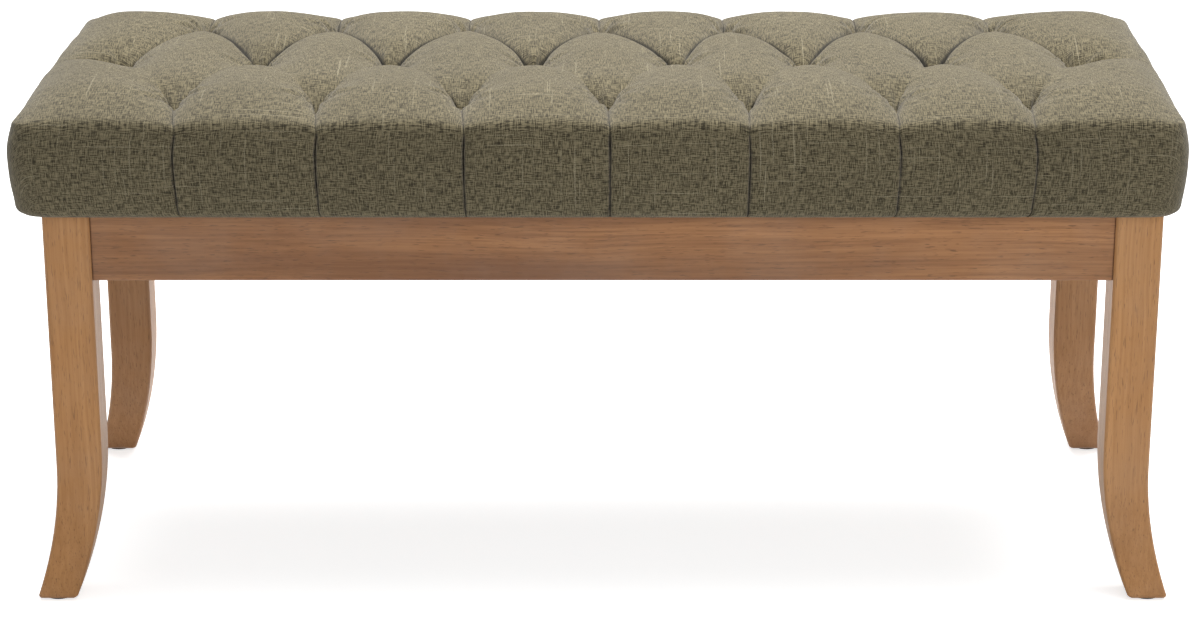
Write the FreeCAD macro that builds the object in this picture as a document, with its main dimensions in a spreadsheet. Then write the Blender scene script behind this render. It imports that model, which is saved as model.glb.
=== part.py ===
import FreeCAD, Part
import math
import os
import re

import Sketcher
from FreeCAD import Placement, Rotation, Vector

# Diamond-tufted bench. Millimetres, +Z up, front towards -Y, origin on the floor at the middle.

SIZES = {
    # whole object
    "seat_width": 1016,
    "seat_depth": 406,
    "seat_height": 460,
    "frame_height": 356,
    "end_overhang": 21.5,
    "side_overhang": 20,
    "fit_clearance": 0.2,
    # legs: square above, flaring outward in two directions below
    "leg_side": 41,
    "leg_flare": 20,
    "leg_flare_height": 118,
    "leg_inner_flare": 26,
    "leg_inner_height": 138,
    "leg_bevel": 2,
    "leg_notch": 12,
    "foot_bevel": 3,
    # glides under the feet
    "glide_thick": 2,
    "glide_width": 25,
    # aprons
    "apron_height": 61.4,
    "apron_thick": 20,
    "apron_recess": 4,
    "apron_round": 1.5,
    # corner blocks and centre brace
    "block_thick": 25,
    "block_height": 45,
    "brace_thick": 22,
    "dowel_width": 8,
    "dowel_length": 30,
    "dowel_spacing": 22,
    # hanger bolts with washers and nuts
    "bolt_width": 8,
    "bolt_bite": 30,
    "bolt_spare": 4,
    "bolt_hole": 9,
    "washer_width": 20,
    "washer_thick": 1.6,
    "nut_width": 13,
    "nut_height": 6.5,
    # cushion: outline of its band and crown
    "crown_rise": 23,
    "bulge_drop": 24,
    "band_lean": 8,
    "fold_inset": 4,
    "crown_inset": 80,
    "bottom_round": 14,
    "plan_round": 22,
    # cushion: tufts, creases and pleats
    "tuft_count": 7,
    "tuft_end_margin": 71.2,
    "tuft_side_margin": 73,
    "crease_depth": 19,
    "end_drop": 9,
    "pleat_depth": 3.5,
    "pleat_width": 10,
    # cushion: layers, from the padded cover in
    "cover_wall": 10,
    "cover_top": 8,
    "cover_margin": 28,
    "margin_thick": 1.5,
    "foam_gap": 0.5,
    "board_thick": 15,
    "tie_width": 2.4,
    "tie_hole": 8,
    "tie_stop_width": 14,
    "tie_stop_thick": 1.2,
    "dust_cover_thick": 0.8,
    "dust_cover_gap": 1,
    # how far cutting shapes run past what they cut
    "overrun": 30,
}

# Sizes that follow from those above.
FOLLOWING = {
    "frame_width": "(seat_width - 2*end_overhang)",
    "frame_depth": "(seat_depth - 2*side_overhang)",
    "band_height": "(seat_height - frame_height - crown_rise)",
    "bulge_height": "(band_height - bulge_drop)",
    "tuft_pitch": "((seat_width - 2*tuft_end_margin)/tuft_count)",
    "tuft_row_pitch": "(seat_depth/2 - tuft_side_margin)",
    "crease_height": "(seat_height - crease_depth)",
    "foam_height": "(crease_height - cover_top - foam_gap - board_thick - margin_thick - frame_height)",
}

doc = FreeCAD.newDocument("tufted_bench")
sheet = doc.addObject("Spreadsheet::Sheet", "Sizes")
for row, (alias, value) in enumerate(SIZES.items(), start=1):
    sheet.set(f"A{row}", alias)
    sheet.set(f"B{row}", str(value))
    sheet.setAlias(f"B{row}", alias)
doc.recompute()

WORD = re.compile(r"\b(" + "|".join(SIZES) + r")\b")
FOLLOWER = re.compile(r"\b(" + "|".join(FOLLOWING) + r")\b")
nodes = {}


def linked(text):
    """An expression on the sheet's sizes, from one written with their plain names."""
    text = str(text)
    while FOLLOWER.search(text):
        text = FOLLOWER.sub(lambda found: FOLLOWING[found[0]], text)
    return WORD.sub(r"Sizes.\1", text)


def bind(thing, prop, text):
    """Tie a property to an expression on the sheet."""
    thing.setExpression(prop, linked(text))


def worth(thing, text):
    """The present value of an expression on the sheet."""
    return float(thing.evalExpression(linked(text)))


def keep(thing, label):
    """Name a finished sub-part."""
    thing.Label = label
    nodes[label] = thing
    return thing


def new_body(label, at=("0", "0", "0")):
    """An empty body whose own frame stands at a point given by expressions."""
    body = doc.addObject("PartDesign::Body", label)
    for axis, text in zip("xyz", at):
        bind(body, f"Placement.Base.{axis}", text)
    return keep(body, label)


def new_sketch(body, role, at=("0", "0", "0"), turn=None):
    """A sketch on one of the body's origin planes, shifted and turned from it."""
    sketch = body.newObject("Sketcher::SketchObject", "Outline")
    plane = next(f for f in body.Origin.OriginFeatures if f.Role == role)
    sketch.AttachmentSupport = [(plane, "")]
    sketch.MapMode = "FlatFace"
    sketch.AttachmentOffset = Placement(Vector(), turn or Rotation())
    for axis, text in zip("xyz", at):
        bind(sketch, f"AttachmentOffset.Base.{axis}", text)
    return sketch


def lock(sketch, geo, point, where):
    """Hold one point of a sketch at a place given by two expressions."""
    for kind, other, text in zip(("DistanceX", "DistanceY"), (-2, -1), where):
        value = worth(sketch, text)
        if abs(value) < 1e-9:
            sketch.addConstraint(Sketcher.Constraint("PointOnObject", geo, point, other))
        else:
            index = sketch.addConstraint(Sketcher.Constraint(kind, -1, 1, geo, point, value))
            bind(sketch, f"Constraints[{index}]", text)


def draw(sketch, corners, arcs=None):
    """A closed outline through corners; arcs gives the radius of the side after a corner, + to bulge left."""
    arcs = arcs or {}
    spots = [Vector(worth(sketch, a), worth(sketch, b), 0) for a, b in corners]
    start = len(sketch.Geometry)
    for i, a in enumerate(spots):
        b = spots[(i + 1) % len(spots)]
        if i in arcs:
            text, side = arcs[i]
            radius = worth(sketch, text)
            half = (b - a).Length / 2
            sag = radius - math.sqrt(radius**2 - half**2)
            left = Vector(a.y - b.y, b.x - a.x, 0).normalize()
            sketch.addGeometry(Part.Arc(a, (a + b) / 2 + left * sag * side, b))
        else:
            sketch.addGeometry(Part.LineSegment(a, b))
    for i in range(len(spots)):
        after = (i + 1) % len(spots)
        ends = [1, 2]
        nexts = [1, 2]
        if i in arcs and arcs[i][1] > 0:
            ends = [2, 1]
        if after in arcs and arcs[after][1] > 0:
            nexts = [2, 1]
        joint = Sketcher.Constraint("Coincident", start + i, ends[1], start + after, nexts[0])
        sketch.addConstraint(joint)
        lock(sketch, start + i, ends[0], corners[i])
    for i, (text, side) in arcs.items():
        index = sketch.addConstraint(Sketcher.Constraint("Radius", start + i, worth(sketch, text)))
        bind(sketch, f"Constraints[{index}]", text)


def draw_circle(sketch, across, where=("0", "0")):
    """A circle in a sketch, by its diameter and centre."""
    spot = Vector(worth(sketch, where[0]), worth(sketch, where[1]), 0)
    geo = sketch.addGeometry(Part.Circle(spot, Vector(0, 0, 1), worth(sketch, across) / 2))
    index = sketch.addConstraint(Sketcher.Constraint("Diameter", geo, worth(sketch, across)))
    bind(sketch, f"Constraints[{index}]", across)
    if where == ("0", "0"):
        sketch.addConstraint(Sketcher.Constraint("Coincident", geo, 3, -1, 1))
    else:
        lock(sketch, geo, 3, where)


def pad(body, sketch, length, midplane=False):
    """Raise a sketch."""
    feature = body.newObject("PartDesign::Pad", "Pad")
    feature.Profile = sketch
    feature.Midplane = midplane
    bind(feature, "Length", length)
    return feature


def pocket(body, sketch, depth, midplane=False):
    """Cut a sketch away, against its normal; the body must lose volume."""
    doc.recompute()
    before = body.Shape.Volume
    feature = body.newObject("PartDesign::Pocket", "Pocket")
    feature.Profile = sketch
    feature.Midplane = midplane
    bind(feature, "Length", depth)
    doc.recompute()
    if body.Shape.Volume > before - 1e-3:
        raise RuntimeError(f"a pocket in {body.Label} cuts nothing")
    return feature


def drill(body, at, along, across, depth):
    """A round hole from a point, along a direction."""
    turn = Rotation(Vector(0, 0, 1), Vector(*along).negative())
    sketch = new_sketch(body, "XY_Plane", at, turn)
    draw_circle(sketch, across)
    return pocket(body, sketch, depth)


def raised(body, at, along, height, outlines):
    """A straight piece standing on a point, along a direction; one outline inside another leaves a hole."""
    sketch = new_sketch(body, "XY_Plane", at, Rotation(Vector(0, 0, 1), Vector(*along)))
    for corners in outlines:
        draw(sketch, corners)
    return pad(body, sketch, height)


def even_sided(sides, across):
    """Corners of a regular outline, given its width across flats."""
    corners = []
    for step in range(sides):
        angle = (step + 0.5) * 360 / sides
        radius = f"{across}/(2*cos({180 / sides} deg))"
        corners.append((f"{radius}*cos({angle} deg)", f"{radius}*sin({angle} deg)"))
    return corners


def edge_names(shape, test):
    """Names of the edges whose two end points pass a test."""
    found = []
    for i, edge in enumerate(shape.Edges, start=1):
        ends = [v.Point for v in edge.Vertexes]
        if len(ends) == 2 and test(*ends):
            found.append(f"Edge{i}")
    return found


def soften(body, kind, size, test):
    """Round or bevel the edges that pass a test."""
    doc.recompute()
    base = body.Tip
    feature = body.newObject(f"PartDesign::{kind}", kind)
    feature.Base = (base, edge_names(base.Shape, test))
    bind(feature, "Radius" if kind == "Fillet" else "Size", size)
    return feature


def mirror(label, source, normal):
    """The mirror image of a sub-part, as one of its own."""
    image = doc.addObject("Part::Mirroring", label)
    image.Source = source
    image.Normal = Vector(*normal)
    return image


def four_corners(name, body):
    """Copies of the front right piece for the other corners, each its own node."""
    front_left = keep(mirror(f"{name}_front_left", body, (1, 0, 0)), f"{name}_front_left")
    keep(mirror(f"{name}_back_right", body, (0, 1, 0)), f"{name}_back_right")
    keep(mirror(f"{name}_back_left", front_left, (0, 1, 0)), f"{name}_back_left")


def group(label, parts):
    """Identical pieces as one node of separate solids."""
    together = doc.addObject("Part::Compound", label)
    together.Links = parts
    return keep(together, label)


def group_of_four(label, body):
    """A piece and its three mirror images, as one node."""
    nodes.pop(body.Label)
    body.Label = f"{label}_one"
    left = mirror(f"{label}_left", body, (1, 0, 0))
    front = doc.addObject("Part::Compound", f"{label}_front")
    front.Links = [body, left]
    back = mirror(f"{label}_back", front, (0, 1, 0))
    return group(label, [front, back])


# The corner frame stands at the axis of the front right leg, on the floor.
CORNER = ("frame_width/2 - leg_side/2", "leg_side/2 - frame_depth/2", "0")
INWARD = (-1, 1, 0)
APRON_FACE = "(apron_recess + apron_thick - leg_side/2)"
BLOCK_LINE = "(leg_side - leg_notch)"
BLOCK_SLANT = "(block_thick*sqrt(2))"
MID_HEIGHT = "(frame_height - apron_height/2)"
BLOCK_FOOT = "(frame_height - block_height)"
DOWEL_HEIGHTS = [f"({BLOCK_FOOT} + (block_height {sign} dowel_spacing)/2)" for sign in "-+"]
FOOT_MIDDLE = "((leg_flare + leg_inner_flare)/2)"
BOLT_FIT = "bolt_width + fit_clearance"
DOWEL_FIT = "dowel_width + fit_clearance"
BOARD_FOOT = "(frame_height + margin_thick)"
FOAM_FOOT = "(frame_height + margin_thick + board_thick)"
FOAM_HEAD = f"({FOAM_FOOT} + foam_height + foam_gap)"


def along_bolt(distance):
    """A point on the hanger bolt's axis, at a distance inwards from the leg's axis."""
    return (f"-({distance})/sqrt(2)", f"({distance})/sqrt(2)", MID_HEIGHT)


def leg():
    """A leg: one outline cut from two sides, rounded, notched for the corner block and drilled."""
    body = new_body("leg_front_right", CORNER)
    outer_radius = "(leg_flare^2 + leg_flare_height^2)/(2*leg_flare)"
    inner_radius = "(leg_inner_flare^2 + leg_inner_height^2)/(2*leg_inner_flare)"
    side = [
        ("-leg_side/2", "frame_height"),
        ("-leg_side/2", "glide_thick + leg_inner_height"),
        ("leg_inner_flare - leg_side/2", "glide_thick"),
        ("leg_side/2 + leg_flare", "glide_thick"),
        ("leg_side/2", "glide_thick + leg_flare_height"),
        ("leg_side/2", "frame_height"),
    ]
    front_view = new_sketch(body, "XZ_Plane")
    draw(front_view, side, {1: (inner_radius, -1), 3: (outer_radius, 1)})
    pad(body, front_view, "2*leg_side + 2*leg_flare", midplane=True)

    side_view = new_sketch(body, "YZ_Plane")
    turned_side = [(f"-({across})", up) for across, up in side]
    draw(side_view, turned_side, {1: (inner_radius, 1), 3: (outer_radius, -1)})
    reach = "(leg_side + leg_flare)"
    around = [
        (f"-{reach}", "-leg_side"),
        (reach, "-leg_side"),
        (reach, "frame_height + leg_side"),
        (f"-{reach}", "frame_height + leg_side"),
    ]
    draw(side_view, around)
    pocket(body, side_view, "4*leg_side + 4*leg_flare", midplane=True)

    floor_line = worth(body, "glide_thick") + 0.1
    soften(body, "Chamfer", "foot_bevel", lambda a, b: a.z < floor_line and b.z < floor_line)
    bevel_rise = 2 * worth(body, "foot_bevel")
    soften(body, "Chamfer", "leg_bevel", lambda a, b: abs(a.z - b.z) > bevel_rise)

    notch = new_sketch(body, "XY_Plane", ("0", "0", "frame_height"))
    corner = [
        ("-leg_side", f"{BLOCK_LINE} - leg_side"),
        (f"leg_side - {BLOCK_LINE}", "leg_side"),
        ("-leg_side", "leg_side"),
    ]
    draw(notch, corner)
    pocket(body, notch, "apron_height")
    drill(body, along_bolt(f"{BLOCK_LINE}/sqrt(2)"), (1, -1, 0), BOLT_FIT, "bolt_bite + 1")
    four_corners("leg", body)


def glide():
    """A thin disc glued under the foot."""
    body = new_body("glide_front_right", CORNER)
    plan = new_sketch(body, "XY_Plane")
    draw_circle(plan, "glide_width", (FOOT_MIDDLE, f"-{FOOT_MIDDLE}"))
    pad(body, plan, "glide_thick")
    four_corners("glide", body)


def apron(name, at, plane, length, holes):
    """A rail between two legs, its lower edges rounded, drilled on its inner face."""
    body = new_body(name, at)
    inner = "-apron_thick" if plane == "XZ_Plane" else "apron_thick"
    section = new_sketch(body, plane)
    corners = [
        ("0", "frame_height - apron_height"),
        (inner, "frame_height - apron_height"),
        (inner, "frame_height"),
        ("0", "frame_height"),
    ]
    draw(section, corners)
    pad(body, section, length, midplane=True)
    lower = worth(body, "frame_height - apron_height") + 0.1
    long = worth(body, "apron_thick") + 1
    soften(
        body,
        "Fillet",
        "apron_round",
        lambda a, b: a.z < lower and b.z < lower and (a - b).Length > long,
    )
    for spot, along, across, depth in holes:
        drill(body, spot, along, across, depth)
    return body


def aprons():
    """Four rails, set back from the legs' outer faces; the long ones take the brace's dowels."""
    holes = []
    for up in DOWEL_HEIGHTS:
        holes.append((("0", "apron_thick", up), (0, -1, 0), DOWEL_FIT, "dowel_length/2 + 0.5"))
    face = ("0", "apron_recess - frame_depth/2", "0")
    front = apron("apron_front", face, "YZ_Plane", "frame_width - 2*leg_side", holes)
    keep(mirror("apron_back", front, (0, 1, 0)), "apron_back")
    face = ("frame_width/2 - apron_recess", "0", "0")
    right = apron("apron_right", face, "XZ_Plane", "frame_depth - 2*leg_side", [])
    keep(mirror("apron_left", right, (1, 0, 0)), "apron_left")


def corner_block():
    """A wooden block across the corner, drilled for the hanger bolt."""
    body = new_body("corner_block_front_right", CORNER)
    plan = new_sketch(body, "XY_Plane", ("0", "0", BLOCK_FOOT))
    corners = [
        (f"{APRON_FACE} - {BLOCK_LINE}", APRON_FACE),
        (f"-{APRON_FACE}", f"{BLOCK_LINE} - {APRON_FACE}"),
        (f"-{APRON_FACE}", f"{BLOCK_LINE} - {APRON_FACE} + {BLOCK_SLANT}"),
        (f"{APRON_FACE} - {BLOCK_LINE} - {BLOCK_SLANT}", APRON_FACE),
    ]
    draw(plan, corners)
    pad(body, plan, "block_height")
    drill(body, along_bolt(f"{BLOCK_LINE}/sqrt(2) - 5"), INWARD, "bolt_hole", "block_thick + 10")
    four_corners("corner_block", body)


def corner_fasteners():
    """Hanger bolts through the corner blocks into the legs, with their washers and nuts."""
    bolt = new_body("hanger_bolt", CORNER)
    start = along_bolt(f"{BLOCK_LINE}/sqrt(2) - bolt_bite")
    length = "bolt_bite + block_thick + washer_thick + nut_height + bolt_spare"
    raised(bolt, start, INWARD, length, [even_sided(12, "(bolt_width*cos(15 deg))")])
    group_of_four("hanger_bolts", bolt)

    face = f"{BLOCK_LINE}/sqrt(2) + block_thick"
    hole = even_sided(12, f"({BOLT_FIT})")
    washer = new_body("washer", CORNER)
    rim = even_sided(12, "washer_width")
    raised(washer, along_bolt(face), INWARD, "washer_thick", [rim, hole])
    group_of_four("bolt_washers", washer)

    nut = new_body("nut", CORNER)
    flats = even_sided(6, "nut_width")
    raised(nut, along_bolt(f"{face} + washer_thick"), INWARD, "nut_height", [flats, hole])
    group_of_four("bolt_nuts", nut)


def brace():
    """The cross rail at the middle, doweled to the long aprons."""
    inner = "(frame_depth/2 - apron_recess - apron_thick)"
    body = new_body("centre_brace")
    section = new_sketch(body, "XZ_Plane")
    corners = [
        ("-brace_thick/2", BLOCK_FOOT),
        ("brace_thick/2", BLOCK_FOOT),
        ("brace_thick/2", "frame_height - dust_cover_thick"),
        ("-brace_thick/2", "frame_height - dust_cover_thick"),
    ]
    draw(section, corners)
    pad(body, section, f"2*{inner}", midplane=True)
    dowels = []
    for side, sign in (("-", 1), ("", -1)):
        for up in DOWEL_HEIGHTS:
            drill(body, ("0", f"{side}{inner}", up), (0, sign, 0), DOWEL_FIT, "dowel_length/2 + 0.5")
            dowel = doc.addObject("Part::Prism", "Dowel")
            dowel.Polygon = 12
            bind(dowel, "Circumradius", "dowel_width/2")
            bind(dowel, "Height", "dowel_length")
            dowel.Placement.Rotation = Rotation(Vector(1, 0, 0), 90)
            bind(dowel, "Placement.Base.y", f"{side}{inner} + dowel_length/2")
            bind(dowel, "Placement.Base.z", up)
            dowels.append(dowel)
    group("brace_dowels", dowels)


def tufts():
    """Plan positions of the tufts, front row to back row, as expressions."""
    count = int(SIZES["tuft_count"])
    places = []
    for row in (-1, 0, 1):
        number = count + 1 if row == 0 else count
        for i in range(number):
            steps = i - (number - 1) / 2
            places.append((f"{steps}*tuft_pitch", f"{row}*tuft_row_pitch"))
    return places


def core_plan(body, low):
    """The rounded rectangle inside the cover, a gap clear of it."""
    inset = "(band_lean + cover_wall + foam_gap)"
    half_x = f"(seat_width/2 - {inset})"
    half_y = f"(seat_depth/2 - {inset})"
    plan = new_sketch(body, "XY_Plane", ("0", "0", low))
    corners = [
        (f"-{half_x}", f"-{half_y}"),
        (half_x, f"-{half_y}"),
        (half_x, half_y),
        (f"-{half_x}", half_y),
    ]
    draw(plan, corners)
    return plan


def prism(name, across, low, high, place):
    """A six-sided upright piece, between two heights."""
    piece = doc.addObject("Part::Prism", name)
    piece.Polygon = 6
    bind(piece, "Circumradius", f"{across}/2")
    bind(piece, "Height", f"{high} - {low}")
    for axis, text in zip("xyz", (*place, low)):
        bind(piece, f"Placement.Base.{axis}", text)
    return piece


def pierce(body, across):
    """Cut a hole through a layer of the seat under each tuft."""
    cutters = doc.addObject("Part::Compound", "Cutters")
    cutters.Links = [prism("Cutter", across, BOARD_FOOT, FOAM_HEAD, place) for place in tufts()]
    pierced = doc.addObject("Part::Cut", f"{body.Label}_pierced")
    pierced.Base = body
    pierced.Tool = cutters
    label = body.Label
    body.Label = f"{label}_whole"
    keep(pierced, label)


def layer(label, low, thick, hole):
    """A flat layer inside the cover, its corners rounded, pierced under each tuft."""
    body = new_body(label)
    inset = "(band_lean + cover_wall + foam_gap)"
    half_x = f"(seat_width/2 - {inset})"
    half_y = f"(seat_depth/2 - {inset})"
    plan = new_sketch(body, "XY_Plane", ("0", "0", low))
    corners = [
        (f"-{half_x}", f"-{half_y}"),
        (half_x, f"-{half_y}"),
        (half_x, half_y),
        (f"-{half_x}", half_y),
    ]
    draw(plan, corners)
    pad(body, plan, thick)
    soften(body, "Fillet", "plan_round - cover_wall", lambda a, b: abs(a.z - b.z) > 1)
    pierce(body, hole)


def dust_cover():
    """A thin cloth under the seat, cut back at the corner blocks."""
    body = new_body("dust_cover")
    plan = new_sketch(body, "XY_Plane", ("0", "0", "frame_height"))
    half_x = "(frame_width/2 - apron_recess - apron_thick - dust_cover_gap)"
    half_y = "(frame_depth/2 - apron_recess - apron_thick - dust_cover_gap)"
    slant = f"({BLOCK_LINE} + {BLOCK_SLANT} - {APRON_FACE} + dust_cover_gap)"
    cut_x = f"(frame_width/2 - leg_side/2 - {slant})"
    cut_y = f"(frame_depth/2 - leg_side/2 - {slant})"
    corners = [
        (f"-{half_x}", f"-{cut_y}"),
        (f"-{cut_x}", f"-{half_y}"),
        (cut_x, f"-{half_y}"),
        (half_x, f"-{cut_y}"),
        (half_x, cut_y),
        (cut_x, half_y),
        (f"-{cut_x}", half_y),
        (f"-{half_x}", cut_y),
    ]
    draw(plan, corners)
    sheet_of_cloth = pad(body, plan, "dust_cover_thick")
    sheet_of_cloth.Reversed = True


def ties():
    """Twine from each tuft down through foam and board, and the disc that holds it there."""
    stop_foot = f"({BOARD_FOOT} - tie_stop_thick)"
    twine = [prism("Tie", "tie_width", BOARD_FOOT, FOAM_HEAD, place) for place in tufts()]
    stops = [prism("Stop", "tie_stop_width", stop_foot, BOARD_FOOT, place) for place in tufts()]
    group("tuft_ties", twine)
    group("tie_stops", stops)


def size(name):
    """The present value of one size, read from the sheet."""
    return worth(sheet, name)


def arch_section(y, creases, crease_height, crest, end_height):
    """Across the seat at one depth: arches between creases, over a flat foot well below them."""
    reach = size("seat_width") / 2 + size("overrun")
    foot = size("frame_height") - size("overrun")
    tops = [Vector(-reach, y, end_height)]
    tops += [Vector(x, y, crease_height) for x in creases]
    tops += [Vector(reach, y, end_height)]
    edges = [
        Part.LineSegment(Vector(reach, y, foot), Vector(-reach, y, foot)),
        Part.LineSegment(Vector(-reach, y, foot), tops[0]),
    ]
    for a, b in zip(tops, tops[1:]):
        edges.append(Part.Arc(a, Vector((a.x + b.x) / 2, y, crest), b))
    edges.append(Part.LineSegment(tops[-1], Vector(reach, y, foot)))
    return Part.Wire([edge.toShape() for edge in edges])


def barrels(front, back):
    """Barrel vaults from one section to another; equal arches give straight, untwisted barrels."""
    return Part.makeLoft([arch_section(*front), arch_section(*back)], True, True)


def tufted_top():
    """The quilted top: two slanting sets of barrels cross between rows, and one runs to each long edge."""
    row = size("tuft_row_pitch")
    pitch = size("tuft_pitch")
    count = int(size("tuft_count"))
    outer = [(i - (count - 1) / 2) * pitch for i in range(count)]
    middle = [(i - count / 2) * pitch for i in range(count + 1)]
    crease = size("crease_height")
    crest = size("seat_height") + 1
    fold = size("frame_height") + size("band_height")
    end = crest - size("end_drop")
    edge = size("seat_depth") / 2 + size("overrun")
    at_row = (-row, outer, crease, crest, end)
    right = barrels(at_row, (0, middle[1:], crease, crest, end))
    left = barrels(at_row, (0, middle[:-1], crease, crest, end))
    crossed = right.common(left)
    border = barrels((-edge, outer, fold, crest + 2, end), at_row)
    back = [half.mirror(Vector(), Vector(0, 1, 0)) for half in (crossed, border)]
    return border.fuse([crossed] + back)


def band_inset(z):
    """How far the cushion's side lies in from its widest line, above the bottom rounding."""
    bulge = size("frame_height") + size("bulge_height")
    side = size("frame_height") + size("bottom_round")
    fold = size("frame_height") + size("band_height")
    if z < bulge:
        return size("band_lean") * ((bulge - z) / (bulge - side)) ** 2
    return size("fold_inset") * ((z - bulge) / (fold - bulge)) ** 2


def side_profile():
    """The cushion's side from underside to crown, as pairs of inset and height."""
    low = size("frame_height")
    bottom = size("bottom_round")
    fold = low + size("band_height")
    bulge = low + size("bulge_height")
    marks = []
    for angle in (0, 22.5, 45, 67.5):
        turn = math.radians(angle)
        inset = size("band_lean") + bottom * (1 - math.sin(turn))
        marks.append((inset, low + bottom * (1 - math.cos(turn))))
    side = low + bottom
    for z in (side, (side + bulge) / 2, bulge, (bulge + fold) / 2, fold):
        marks.append((band_inset(z), z))
    for angle in (22.5, 45, 67.5, 90):
        turn = math.radians(angle)
        inset = size("fold_inset") + (size("crown_inset") - size("fold_inset")) * (1 - math.cos(turn))
        marks.append((inset, fold + (size("seat_height") - fold) * math.sin(turn)))
    return marks


def ring(inset, z):
    """A level rectangle with rounded corners, set in from the cushion's outline."""
    x = size("seat_width") / 2 - inset
    y = size("seat_depth") / 2 - inset
    radius = size("plan_round")
    bow = radius * (1 - math.sqrt(0.5))
    edges = []
    for sx, sy in ((1, -1), (1, 1), (-1, 1), (-1, -1)):
        along_x = Vector(sx * (x - radius), sy * y, z)
        along_y = Vector(sx * x, sy * (y - radius), z)
        start, stop = (along_x, along_y) if sx * sy < 0 else (along_y, along_x)
        if edges:
            edges.append(Part.LineSegment(edges[-1].EndPoint, start))
        edges.append(Part.Arc(start, Vector(sx * (x - bow), sy * (y - bow), z), stop))
    edges.append(Part.LineSegment(edges[-1].EndPoint, edges[0].StartPoint))
    return Part.Wire([edge.toShape() for edge in edges])


def wedge(sections):
    """A three-sided cutter lofted through sections of a bottom point and two top points."""
    wires = [Part.makePolygon([low, one, other, low]) for low, one, other in sections]
    return Part.makeLoft(wires, True, True)


def band_pleat(x, side):
    """The cutter of one pleat, down the band from a tuft of an outer row."""
    half = size("pleat_width") / 2
    marks = side_profile()
    first = (marks[0][0] + 2, marks[0][1] - 1)
    crown = len(marks) - 3
    sections = []
    for inset, z in [first] + marks[2:crown]:
        y = size("seat_depth") / 2 - inset
        deep = Vector(x, side * (y - size("pleat_depth")), z)
        sections.append((deep, Vector(x + half, side * (y + 2), z), Vector(x - half, side * (y + 2), z)))
    return wedge(sections)


def end_pleat(side):
    """The cutter of one pleat, from an end tuft of the middle row over the end of the seat."""
    tuft = size("tuft_count") * size("tuft_pitch") / 2
    edge = size("seat_width") / 2 - size("fold_inset")
    fold = size("frame_height") + size("band_height")
    over = size("seat_height") + size("pleat_depth")
    crease = size("crease_height")
    width = size("pleat_width")
    places = [
        (tuft, crease, 2 * width),
        ((2 * tuft + edge) / 3, crease + size("pleat_depth"), 1.6 * width),
        (edge - size("pleat_depth"), fold - size("pleat_depth") / 2, 1.6 * width),
        (edge + 2 * size("fold_inset"), fold - 2 * width, 1.6 * width),
    ]
    sections = []
    for x, z, half in places:
        sections.append((Vector(side * x, 0, z), Vector(side * x, half, over), Vector(side * x, -half, over)))
    return wedge(sections)


def seat_cover():
    """The padded cover: band and crown cut by the tufted top, pleated, hollow for foam and board."""
    envelope = Part.makeLoft([ring(inset, z) for inset, z in side_profile()], True, True)
    cushion = envelope.common(tufted_top())
    count = int(size("tuft_count"))
    cutters = []
    for side in (-1, 1):
        for i in range(count):
            cutters.append(band_pleat((i - (count - 1) / 2) * size("tuft_pitch"), side))
        cutters.append(end_pleat(side))
    cushion = cushion.cut(Part.makeCompound(cutters))

    inset = size("band_lean") + size("cover_wall")
    x = size("seat_width") / 2 - inset
    y = size("seat_depth") / 2 - inset
    low = size("frame_height") + size("margin_thick")
    height = size("board_thick") + size("foam_height") + size("foam_gap")
    hollow = Part.makeBox(2 * x, 2 * y, height, Vector(-x, -y, low))
    upright = [edge for edge in hollow.Edges if abs(edge.Vertexes[0].Z - edge.Vertexes[1].Z) > 1]
    hollow = hollow.makeFillet(size("plan_round") - size("cover_wall"), upright)
    margin = size("cover_margin")
    deep = 4 * size("margin_thick")
    corner = Vector(margin - x, margin - y, low - deep / 2)
    mouth = Part.makeBox(2 * (x - margin), 2 * (y - margin), deep, corner)
    piece = doc.addObject("Part::Feature", "seat_cover")
    piece.Shape = cushion.cut([hollow, mouth])
    keep(piece, "seat_cover")


leg()
glide()
aprons()
corner_block()
corner_fasteners()
brace()
layer("seat_board", BOARD_FOOT, "board_thick", "tie_hole")
layer("foam_core", FOAM_FOOT, "foam_height", "tie_width + 2*fit_clearance")
ties()
dust_cover()
seat_cover()
doc.recompute()

faults = []
for thing in doc.Objects:
    if "Invalid" in thing.State or "Error" in thing.State:
        faults.append(f"{thing.Label}: {thing.State}")
for label, piece in nodes.items():
    shape = piece.Shape
    if shape.isNull() or not shape.isValid() or not shape.Solids:
        faults.append(f"{label}: no valid solid")
if faults:
    raise RuntimeError("; ".join(faults))

os.makedirs("parts", exist_ok=True)
for label, piece in nodes.items():
    piece.Shape.exportStep(f"parts/{label}.step")
print(len(nodes), "sub-parts written")
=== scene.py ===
import logging
import math
from dataclasses import dataclass, field, fields
from enum import Enum

import bpy
import numpy as np
from bpy.types import Material, Mesh, Node, NodeSocket, NodeTree, Object
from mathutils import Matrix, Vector, noise


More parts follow.
